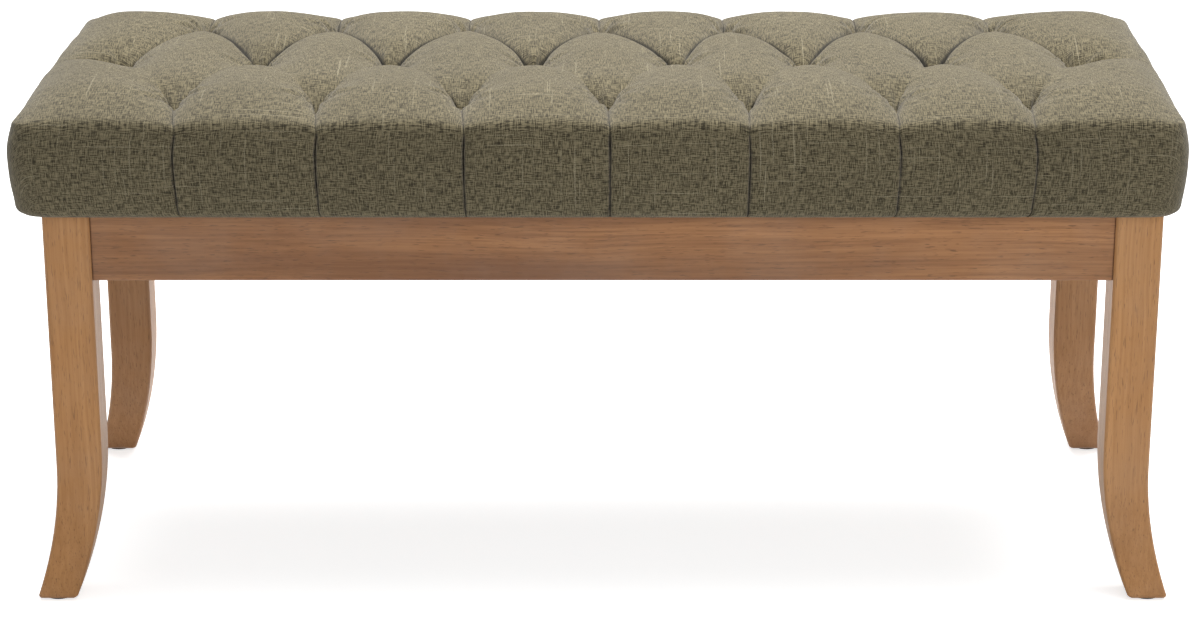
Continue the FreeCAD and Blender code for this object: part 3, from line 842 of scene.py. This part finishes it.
    def heights(self, x: np.ndarray, y: np.ndarray, puff: np.ndarray) -> np.ndarray:
        """How high the quilted top stands.

        Args:
            x: Places along the seat.
            y: Places across it.
            puff: The puff at each.

        Returns:
            The heights.
        """
        from_end, from_side = self.edge_x - np.abs(x), self.edge_y - np.abs(y)
        rise = 1.0
        for inset, reach in ((from_end, self.end_reach), (from_side, self.crown_reach)):
            fold = np.sqrt(1 - (1 - np.clip(inset / self.fold_round, 0, 1)) ** 2)
            crown = np.sin(np.clip(inset / reach, 0, 1) * math.pi / 2)
            rise = rise * (self.fold_share * fold + (1 - self.fold_share) * crown)
        near = self.to_tufts(x, y)[0]
        past_row, past_tuft = self.edge_y - self.row, self.edge_x - self.middle[-1][0]
        inside = np.clip(np.minimum(from_side / past_row, from_end / past_tuft), 0, 1)
        depth = self.edge_dip + (self.crease_depth - self.edge_dip) * inside
        depth = depth + self.pit_depth * np.exp(-((near / self.pit_reach) ** 2))
        row_zone = [self.row + reach for reach in self.row_zone]
        ease = self.slope(near, *self.ease_zone) * (1 - self.back_firm * self.slope(y, *self.back_zone))
        ease = ease * (1 - self.slope(np.abs(y), *row_zone))
        full = self.back_full * self.slope(y, *self.full_zone) * (1 - self.slope(y, *row_zone))
        drop = depth * (1 - self.ease_depth * ease) * (1 - puff ** (1 + self.ease_width * ease - full))
        drop = drop + self.pit_hole * np.exp(-((near / self.pit_width) ** 2))
        return self.fold_height + (self.top - self.fold_height) * rise - drop

    def shades(self, x: np.ndarray, y: np.ndarray, crease: np.ndarray) -> np.ndarray:
        """The painted shade in the folds of the top: pleats, back creases and tufts most.

        Args:
            x: Places along the seat.
            y: Places across it.
            crease: 1 on creases, falling off beside them.

        Returns:
            A mask from 0 to 1.
        """
        near = self.to_tufts(x, y)[0]
        outside = np.abs(y) > self.row - 1
        narrow = outside | (np.abs(x) > self.middle[-1][0] + 2)
        line = np.where(narrow, crease > 0.99, crease)
        shown = np.where(outside | (y > 8), 1.0, self.front_shade)
        lines = line * np.maximum(shown, 1 - self.slope(near, *self.shade_zone))
        return np.maximum(lines, self.tuft_shade * np.exp(-((near / self.tuft_width) ** 2)))

    @staticmethod
    def slope(value: np.ndarray, low: float, high: float) -> np.ndarray:
        """Rise smoothly from 0 at the low value to 1 at the high one."""
        t = np.clip((value - low) / (high - low), 0, 1)
        return t * t * (3 - 2 * t)

    def perimeter(self) -> list[int]:
        """Vertex numbers round the pattern's edge, front left first, towards the right."""
        xs = np.array([p[0] for p in self.points])
        ys = np.array([p[1] for p in self.points])
        near = 1e-3
        runs = []
        for axis, other, sign, order in ((ys, xs, -1, 1), (xs, ys, 1, 1), (ys, xs, 1, -1), (xs, ys, -1, -1)):
            limit = self.edge_y if axis is ys else self.edge_x
            on = np.where(np.abs(axis - sign * limit) < near)[0]
            run = on[np.argsort(order * other[on])]
            runs += list(run[:-1])
        return [int(v) for v in runs]

    def profile(self) -> list[tuple[float, float, float]]:
        """The band and underside below the fold: inset, height, and how deep a pleat is."""
        rows = []
        above, below = self.fold_height - self.bulge_height, self.bulge_height - self.band_foot
        for z in self.band_heights:
            rise = z - self.bulge_height
            if rise > 0:
                inset = self.fold_inset * (rise / above) ** self.fold_curve
            else:
                inset = self.band_lean * (rise / below) ** 2
            rows.append((inset, z, 1.0))
        for angle in (18, 36, 54, 72, 90):
            turn = math.radians(angle)
            inset = self.band_lean + self.bottom_round * (1 - math.cos(turn))
            height = self.underside + self.bottom_round * (1 - math.sin(turn))
            rows.append((inset, height, max(0.0, 1 - angle / 100)))
        mouth, wall, lip = self.mouth_inset, self.wall_inset, self.underside + self.lip
        rows += [(wall + self.hem, self.underside, 0.0), (mouth, self.underside, 0.0), (mouth, lip, 0.0)]
        return rows + [(wall, lip, 0.0), (wall, self.underside + self.hold, 0.0), (wall, self.ceiling, 0.0)]

    def lay_out(self) -> None:
        """Mesh the whole top as a flat pattern."""
        self.diamonds()
        for row, feet, sign in ((self.front, self.front_foot, -1), (self.back, self.back_foot, 1)):
            self.wedges(row, sign)
            self.strips(row, feet, sign)
            for end in (-1, 1):
                self.corners(row, feet, sign, end)

    def rings(self, top: Layer, flat: np.ndarray) -> list[Layer]:
        """Add the band, the underside and the hollow below the top, ring by ring.

        Args:
            top: The quilted top.
            flat: The flat pattern's points, with their puff and crease.

        Returns:
            The top and all rings.
        """
        layers = [top]
        ring = self.perimeter()
        rim = top.cloth[ring]
        rim_x, rim_y, puffed, gather = flat[ring].T
        size = len(ring)
        start = len(flat)
        run = 0.0
        last = (self.fold_inset, self.fold_height)
        for inset, height, pleat in self.profile():
            half_x, half_y = self.half_length - inset, self.half_depth - inset
            radius = max(self.corner_round - max(inset - self.corner_round, 0.0) / 2, self.inner_round)
            plan = (rim_x * half_x / self.edge_x, rim_y * half_y / self.edge_y)
            x, y, out_x, out_y = self.round_plan(*plan, half_x, half_y, radius)
            draw = pleat * (gather * self.pleat_depth + (1 - puffed) * self.hollow)
            near_fold = max(0.0, 1 - (self.fold_height - height) / self.sag_reach)
            z = height - self.edge_dip * (1 - puffed) * near_fold * pleat
            run += math.hypot(inset - last[0], height - last[1])
            last = (inset, height)
            layers.append(
                Layer(
                    places=np.stack([x - out_x * draw, y - out_y * draw, z], axis=1),
                    cloth=rim + np.stack([out_x, out_y], axis=1) * run,
                    crease=gather * (pleat > 0),
                    # Painted shade along the band's pleats.
                    dark=gather * (pleat > 0) * self.slope(np.abs(rim_y), 1, 3),
                    held=(1.0 if pleat < 0.5 else 0.0) + gather * self.pleat_hold,
                )
            )
            new = list(range(start, start + size))
            for k in range(size):
                after = (k + 1) % size
                self.face(ring[k], new[k], new[after], ring[after])
            ring = new
            start += size
        return layers

    def build(self) -> Object:
        """Shape the cushion.

        Returns:
            The cushion's object.
        """
        self.lay_out()
        flat = np.array(self.points)
        plan = self.round_plan(flat[:, 0], flat[:, 1], self.edge_x, self.edge_y, self.corner_round)
        x, y = plan[:2]
        dark = self.shades(x, y, flat[:, 3])
        flat[:, 3] = flat[:, 3] > 0.99
        top = Layer(
            places=np.stack([x, y, self.heights(x, y, flat[:, 2])], axis=1),
            cloth=np.stack([x, y], axis=1),
            crease=flat[:, 3],
            dark=dark,
            held=flat[:, 3],
        )
        whole = Layer.joined(self.rings(top, flat))
        drift = (whole.places[:, 0] / self.half_length) ** 4 * whole.places[:, 1] / self.half_depth
        whole.places[:, 0] += self.end_drift * drift
        piece = mesh_object("seat_cushion", whole.places * MM, self.faces)
        mesh = piece.data
        corner = np.zeros(len(mesh.loops), dtype=np.int64)
        mesh.loops.foreach_get("vertex_index", corner)
        flat_cloth = mesh.uv_layers.new(name="cloth")
        flat_cloth.data.foreach_set("uv", (whole.cloth * MM)[corner].ravel())
        # The painted shade of the folds, which the cloth's material reads.
        shade = mesh.attributes.new("fold_shade", "FLOAT", "POINT")
        shade.data.foreach_set("value", whole.dark.astype(np.float32))
        self.sharpen(mesh, whole.crease)
        self.inflate(piece, np.clip(whole.held, 0, 1))
        self.smooth(piece)
        self.ruffle(piece)
        return piece

    @staticmethod
    def sharpen(mesh: Mesh, crease: np.ndarray) -> None:
        """Mark the edges along creases, so that smoothing keeps them narrow.

        Args:
            mesh: The cushion's mesh.
            crease: 1 on creases.
        """
        pairs = np.zeros(len(mesh.edges) * 2, dtype=np.int64)
        mesh.edges.foreach_get("vertices", pairs)
        pairs = pairs.reshape(-1, 2)
        sharp = np.minimum(crease[pairs[:, 0]], crease[pairs[:, 1]])
        values = mesh.attributes.new("crease_edge", "FLOAT", "EDGE")
        values.data.foreach_set("value", sharp.astype(np.float32))

    def inflate(self, piece: Object, held: np.ndarray) -> None:
        """Puff the cloth between its creases, with a pressure simulation.

        Args:
            piece: The cushion.
            held: How firmly each vertex is pinned, 0 to 1.
        """
        mesh = piece.data
        before = np.zeros(len(mesh.vertices) * 3)
        mesh.vertices.foreach_get("co", before)
        group = piece.vertex_groups.new(name="held")
        for number, weight in enumerate(held):
            if weight > 0:
                group.add([number], float(weight), "REPLACE")
        only(piece)
        cloth = piece.modifiers.new("Puff", "CLOTH")
        settings = cloth.settings
        settings.quality = 6
        settings.mass = 0.3
        settings.tension_stiffness = 25
        settings.compression_stiffness = 25
        settings.shear_stiffness = 12
        settings.bending_stiffness = 1.5
        settings.use_pressure = True
        settings.uniform_pressure_force = self.puff_pressure
        settings.vertex_group_mass = "held"
        settings.effector_weights.gravity = 0.0
        cloth.collision_settings.use_collision = False
        cloth.collision_settings.use_self_collision = False
        cloth.point_cache.frame_start = 1
        cloth.point_cache.frame_end = self.puff_frames
        scene = bpy.context.scene
        for number in range(1, self.puff_frames + 1):
            scene.frame_set(number)
        evaluated = piece.evaluated_get(bpy.context.evaluated_depsgraph_get())
        after = np.zeros_like(before)
        evaluated.data.vertices.foreach_get("co", after)
        piece.modifiers.remove(cloth)
        scene.frame_set(1)
        move = (after - before).reshape(-1, 3)
        length = np.linalg.norm(move, axis=1)
        log.info("cushion: cloth moved %.1f mm at most, %.2f mean", length.max() / MM, length.mean() / MM)
        move *= (np.minimum(length, self.puff_cap * MM) / np.maximum(length, 1e-9))[:, None]
        mesh.vertices.foreach_set("co", before + move.ravel())
        mesh.update()

    @staticmethod
    def smooth(piece: Object) -> None:
        """Subdivide once and shade smoothly."""
        only(piece)
        divide = piece.modifiers.new("Smooth", "SUBSURF")
        divide.levels = divide.render_levels = 1
        divide.uv_smooth = "PRESERVE_BOUNDARIES"
        bpy.ops.object.modifier_apply(modifier=divide.name)
        bpy.ops.object.mode_set(mode="EDIT")
        bpy.ops.mesh.select_mode(type="EDGE")
        bpy.ops.mesh.select_all(action="DESELECT")
        bpy.ops.mesh.select_non_manifold()
        bpy.ops.mesh.edge_face_add()
        bpy.ops.object.mode_set(mode="OBJECT")
        bpy.ops.object.shade_smooth()

    def ruffle(self, piece: Object) -> None:
        """Add the small unevenness of padding and the gathers round each tuft.

        Args:
            piece: The cushion.
        """
        mesh = piece.data
        places, normals = (np.zeros(len(mesh.vertices) * 3) for _ in range(2))
        mesh.vertices.foreach_get("co", places)
        mesh.vertices.foreach_get("normal", normals)
        places = places.reshape(-1, 3)
        normals = normals.reshape(-1, 3)
        x, y, z = (places / MM).T
        from_end, from_side = self.half_length - np.abs(x), self.half_depth - np.abs(y)
        away, nearest, turn = self.to_tufts(x, y)
        upper = np.clip((z - self.fold_height + 12) / 6, 0, 1)
        fan = np.sin(turn * 6 + nearest * 1.7) + 0.7 * np.sin(turn * 11 + nearest * 2.9)
        ring = np.exp(-(((away - self.gather_ring) / self.gather_width) ** 2))
        gathers = self.gather * fan * ring * upper
        outer = (z > self.underside + 2) & ((from_end < self.rim_zone) | (from_side < self.rim_zone))
        shown = np.where(outer | (upper > 0), 1.0, 0.0)
        lumps = np.array([noise.noise(Vector(p) * self.lump_scale) for p in places])
        dimples = np.array([noise.noise(Vector(p) * self.dimple_scale) for p in places])
        move = (gathers + shown * (self.lump * lumps + self.dimple * dimples)) * MM
        inner = (from_end > self.wall_inset - 1) & (from_side > self.wall_inset - 1)
        move = np.where(inner & (z < self.ceiling + 1), 0.0, move)
        mesh.vertices.foreach_set("co", (places + normals * move[:, None]).ravel())
        mesh.update()

    def dress(self, piece: Object) -> None:
        """Cover the cushion with its cloth.

        Args:
            piece: The cushion.
        """
        linen = LinenFinish(
            "OliveLinen",
            yarn=srgb(133, 123, 96),
            shadow=srgb(45, 40, 26),
            slub=srgb(158, 149, 123),
        )
        finish_piece(piece, linen.material())
        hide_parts("seat_cover", "foam_core")


@dataclass
class Woodwork:
    """The legs, aprons, blocks and brace, which keep their CAD shapes."""

    def dress(self) -> None:
        """Give each wooden node its finish."""
        pore = srgb(92, 60, 34)
        for number, corner in enumerate(CORNERS):
            front = corner.startswith("front")
            leg = WoodFinish(
                f"LegWood{number}",
                Axis.Z,
                # The back legs take a slightly darker copy of the leg wood: painted shade for the less light
                # that reaches them.
                light=srgb(191, 140, 86) if front else srgb(186, 137, 90),
                dark=srgb(150, 102, 54) if front else srgb(148, 101, 60),
                pore=pore,
                figure=0.8,
                pores=0.55,
                corner=0.0022,
                offset=(0.37 * number, 0.21 * number, 0.13 * number),
            )
            paint(f"leg_{corner}", leg.material())
        rails = {"front": Axis.X, "back": Axis.X, "left": Axis.Y, "right": Axis.Y}
        for number, (side, along) in enumerate(rails.items()):
            rail = WoodFinish(
                f"RailWood{number}",
                along,
                light=srgb(186, 132, 82),
                dark=srgb(106, 66, 36),
                pore=pore,
                figure=1.0,
                pores=0.7,
                corner=0.0012,
                offset=(0.5 * number, 0.3 * number, 0.2),
                joint=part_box(f"apron_{side}")[1][along.value],
            )
            paint(f"apron_{side}", rail.material())
        inner = WoodFinish(
            "InnerWood",
            Axis.Z,
            light=srgb(205, 174, 128),
            dark=srgb(176, 140, 96),
            pore=srgb(140, 104, 66),
            rough=0.15,
        ).material()
        for node in (*(f"corner_block_{corner}" for corner in CORNERS), "centre_brace", "brace_dowels"):
            paint(node, inner)
        board = WoodFinish(
            "Plywood",
            Axis.X,
            light=srgb(214, 186, 142),
            dark=srgb(184, 150, 106),
            pore=srgb(150, 116, 76),
            rough=0.2,
        )
        paint("seat_board", board.material())


@dataclass
class Hardware:
    """Bolts, washers, nuts, glides and ties, which keep their CAD shapes."""

    def dress(self) -> Material:
        """Give each node its finish.

        Returns:
            The zinc-plated steel.
        """
        bright, dull = srgb(186, 188, 188), srgb(150, 152, 154)
        steel = PlainFinish("Zinc", bright, dull, metal=1.0, rough=0.35, grain=900.0).material()
        for node in ("hanger_bolts", "bolt_washers", "bolt_nuts"):
            paint(node, steel)
        black = PlainFinish("GlidePlastic", srgb(26, 25, 24), srgb(38, 37, 35), rough=0.6).material()
        for corner in CORNERS:
            paint(f"glide_{corner}", black)
        paint("tie_stops", PlainFinish("StopNylon", srgb(206, 202, 190), srgb(188, 184, 170)).material())
        twine = PlainFinish("Twine", srgb(208, 198, 170), srgb(176, 164, 134), rough=0.9, stretch=(1, 1, 0.2))
        paint("tuft_ties", twine.material())
        return steel


@dataclass
class DustCloth:
    """The thin black cloth tacked under the seat. Sizes in metres."""

    underside: float = 0.3552
    thick: float = 0.0006
    sag: float = 0.0005
    edge_flat: float = 0.03
    brace_flat: float = 0.06
    columns: int = 96
    rows: int = 36
    staple_pitch: float = 0.05
    staple_inset: float = 0.009
    staple: tuple = (0.0105, 0.0012, 0.0006)
    staple_round: float = 0.00022
    staple_drift: float = 0.001
    staple_skew: float = 0.12
    corner_gap: float = 0.02

    def outline(self) -> tuple[float, float, float]:
        """Half length, half depth, and the reach of the cut corners, from the solid."""
        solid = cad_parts["dust_cover"].data
        places = np.array([v.co[:] for v in solid.vertices])
        reach = np.abs(places[:, 0]) + np.abs(places[:, 1])
        return float(np.abs(places[:, 0]).max()), float(np.abs(places[:, 1]).max()), float(reach.max())

    def build(self) -> Object:
        """Shape the cloth as a closed thin sheet that hangs a little between its staples.

        Returns:
            The cloth.
        """
        half_x, half_y, reach = self.outline()
        width = self.columns + 1
        layers = []
        for lift in (0.0, self.thick):
            for j in range(self.rows + 1):
                y = half_y * (2 * j / self.rows - 1)
                limit = min(half_x, reach - abs(y))
                for i in range(width):
                    x = limit * (2 * i / self.columns - 1)
                    inside = min(limit - abs(x), half_y - abs(y)) / self.edge_flat
                    edge = min(inside, abs(x) / self.brace_flat, 1.0)
                    ripple = 0.5 + 0.5 * noise.noise(Vector((x * 9, y * 9, 0.4)))
                    layers.append((x, y, self.underside + lift - self.sag * ripple * max(edge, 0.0)))
        size = width * (self.rows + 1)
        faces = []
        for j in range(self.rows):
            for i in range(self.columns):
                a = j * width + i
                faces.append((a, a + width, a + width + 1, a + 1))
                faces.append((size + a, size + a + 1, size + a + width + 1, size + a + width))
        rim = list(range(width)) + [width * j + width - 1 for j in range(1, self.rows + 1)]
        rim += [width * self.rows + i for i in range(self.columns - 1, -1, -1)]
        rim += [width * j for j in range(self.rows - 1, 0, -1)]
        for a, b in zip(rim, rim[1:] + rim[:1]):
            faces.append((a, b, size + b, size + a))
        piece = mesh_object("dust_cloth", np.array(layers), faces)
        only(piece)
        bpy.ops.object.shade_smooth_by_angle(angle=math.radians(40))
        self.flat = (2 * half_x, 2 * half_y)
        self.area = 4 * half_x * half_y - 2 * (half_x + half_y - reach) ** 2
        return piece

    def dress(self, piece: Object) -> None:
        """Give the cloth its finish.

        Args:
            piece: The cloth.
        """
        black, grey = srgb(34, 34, 35), srgb(52, 52, 53)
        felt = PlainFinish("DustCloth", black, grey, rough=0.95, grain=1400.0, relief=0.0003)
        finish_piece(piece, felt.material())
        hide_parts("dust_cover")

    def staples(self, steel: Material) -> None:
        """Tack the cloth's edge with staples.

        Args:
            steel: Their finish.
        """
        half_x, half_y, reach = self.outline()
        bpy.ops.object.select_all(action="DESELECT")
        bpy.ops.mesh.primitive_cube_add(size=1.0, location=(0.0, 0.0, 0.0), scale=self.staple)
        first = bpy.context.object
        bpy.ops.object.transform_apply(location=True, rotation=True, scale=True)
        modify(first, "BEVEL", width=self.staple_round, segments=2)
        bpy.ops.object.shade_smooth_by_angle(angle=math.radians(50))
        places = []
        across, along = half_y - self.staple_inset, half_x - self.staple_inset
        count = int((reach - across - self.corner_gap) / self.staple_pitch)
        for k in (*range(-count, 0), *range(1, count + 1)):
            places += [(k * self.staple_pitch, side * across, 0.0) for side in (-1, 1)]
        count = int((reach - along - self.corner_gap) / self.staple_pitch)
        for k in range(-count, count + 1):
            places += [(side * along, k * self.staple_pitch, math.pi / 2) for side in (-1, 1)]
        low = self.underside - self.staple[2] / 2
        spots = []
        for number, (x, y, turn) in enumerate(places):
            place = (x + self.staple_drift * math.sin(number), y, low)
            spots.append((place, turn + self.staple_skew * math.sin(number * 2.4)))
        finish_piece(repeated(first, "cloth_staples", spots), steel)


@dataclass
class BlockScrews:
    """Screws up through the corner blocks and the brace into the seat board. Sizes in metres."""

    head: float = 0.0045
    high: float = 0.0018
    recess: float = 0.0011
    along: float = 0.017
    dome: float = 0.45
    slot_long: float = 1.15
    slot_wide: float = 0.24
    turn_each: float = 1.1
    brace_places: tuple = (-0.1, 0.1)

    def spots(self) -> list[tuple[float, float, float]]:
        """Places of the heads, on the undersides of the blocks and the brace."""
        found = []
        for corner in CORNERS:
            low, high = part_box(f"corner_block_{corner}")
            x, y = (low[0] + high[0]) / 2, (low[1] + high[1]) / 2
            side = 1 if x * y > 0 else -1
            for way in (-1, 1):
                found.append((x + way * self.along, y - side * way * self.along, low[2]))
        low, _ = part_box("centre_brace")
        return found + [(0.0, y, low[2]) for y in self.brace_places]

    def build(self) -> Object:
        """Model one domed head with a cross recess and copy it to every place.

        Returns:
            The heads, as one object.
        """
        bpy.ops.object.select_all(action="DESELECT")
        middle = (0.0, 0.0, -self.high / 2)
        bpy.ops.mesh.primitive_cylinder_add(vertices=32, radius=self.head, depth=self.high, location=middle)
        first = bpy.context.object
        bpy.ops.object.transform_apply(location=True, rotation=True, scale=True)
        modify(first, "BEVEL", width=self.high * self.dome, segments=4, limit_method="ANGLE")
        for turn in (0.0, math.pi / 2):
            bpy.ops.object.select_all(action="DESELECT")
            deep = (0.0, 0.0, -self.high)
            size = (self.head * self.slot_long, self.head * self.slot_wide, 2 * self.recess)
            bpy.ops.mesh.primitive_cube_add(size=1.0, location=deep, rotation=(0, 0, turn), scale=size)
            tool = bpy.context.object
            only(first)
            modify(first, "BOOLEAN", object=tool, solver="EXACT")
            bpy.data.objects.remove(tool)
        only(first)
        bpy.ops.object.shade_smooth_by_angle(angle=math.radians(35))
        turned = [(place, number * self.turn_each) for number, place in enumerate(self.spots())]
        return repeated(first, "block_screws", turned)


@dataclass
class Studio:
    """Floor, lamps, world and the camera of the photograph."""

    distance: float = 2.780
    height: float = 1.1466
    pitch_down: float = 18.70
    focal_pixels: float = 3133.0
    photo_width: float = 1200.0
    centre_shift: float = 2.7
    sensor: float = 36.0
    fill: float = 0.3

    def camera(self) -> None:
        """Place the camera."""
        data = bpy.data.cameras.new("Camera")
        data.sensor_width = self.sensor
        data.lens = self.focal_pixels / self.photo_width * self.sensor
        data.shift_x = -self.centre_shift / self.photo_width
        camera = bpy.data.objects.new("Camera", data)
        camera.location = (0.0, -self.distance, self.height)
        camera.rotation_euler = (math.radians(90 - self.pitch_down), 0.0, 0.0)
        bpy.context.scene.collection.objects.link(camera)
        bpy.context.scene.camera = camera

    def floor(self) -> None:
        """Lay a pale floor that looks white and keeps the bench's shadow."""
        bpy.ops.object.select_all(action="DESELECT")
        bpy.ops.mesh.primitive_plane_add(size=60.0, location=(0.0, 0.0, 0.0))
        floor = bpy.context.object
        floor.name = "studio_floor"
        material, n, shader = new_material("StudioFloor")
        shader.inputs["Base Color"].default_value = (0.8, 0.8, 0.8, 1.0)
        shader.inputs["Roughness"].default_value = 0.9
        shader.inputs["Specular IOR Level"].default_value = 0.0
        speck = n.noise(n.add("TexCoord").outputs["Object"], 3.0)
        glow = n.maths("MULTIPLY", n.looked_at(), n.ramp(speck, 0.0, 1.0, (0.67, 0.69)))
        shader.inputs["Emission Color"].default_value = (1.0, 1.0, 1.0, 1.0)
        n.feed(shader.inputs["Emission Strength"], glow)
        floor.data.materials.append(material)

    def world(self) -> None:
        """Fill the room with even light, and show white to the camera."""
        world = bpy.data.worlds.new("Studio")
        world.use_nodes = True
        bpy.context.scene.world = world
        n = Nodes(world.node_tree)
        back = world.node_tree.nodes["Background"]
        back.inputs["Color"].default_value = (1.0, 1.0, 1.0, 1.0)
        shown = n.maths("MULTIPLY", n.looked_at(), 1.0 - self.fill)
        n.feed(back.inputs["Strength"], n.maths("ADD", shown, self.fill))

    def lamp(self, name: str, place: tuple, aim: tuple, size: tuple, power: float) -> None:
        """Hang a soft lamp.

        Args:
            name: The lamp's name.
            place: Where it hangs.
            aim: The point it faces.
            size: Its width and height.
            power: Its power in watts.
        """
        data = bpy.data.lights.new(name, "AREA")
        data.shape = "RECTANGLE"
        data.size, data.size_y = size
        data.energy = power
        lamp = bpy.data.objects.new(name, data)
        lamp.location = place
        lamp.rotation_euler = (Vector(aim) - Vector(place)).to_track_quat("-Z", "Y").to_euler()
        bpy.context.scene.collection.objects.link(lamp)

    def build(self) -> None:
        """Set up the studio."""
        self.camera()
        self.floor()
        self.world()
        self.lamp("overhead", (0.2, 0.5, 2.6), (0.0, 0.0, 0.4), (2.6, 1.8), 128.0)
        self.lamp("front", (0.6, -3.0, 1.9), (0.0, 0.0, 0.3), (2.4, 1.8), 26.0)


def main() -> None:
    """Build the studio, then the bench piece by piece."""
    logging.basicConfig(level=logging.INFO, format="%(name)s: %(message)s")
    bpy.context.scene.view_settings.view_transform = "Standard"
    Studio().build()
    cushion = TuftedCushion()
    cushion.dress(cushion.build())
    Woodwork().dress()
    steel = Hardware().dress()
    cloth = DustCloth()
    cloth.dress(cloth.build())
    cloth.staples(steel)
    finish_piece(BlockScrews().build(), steel)


if __name__ == "__main__":
    main()
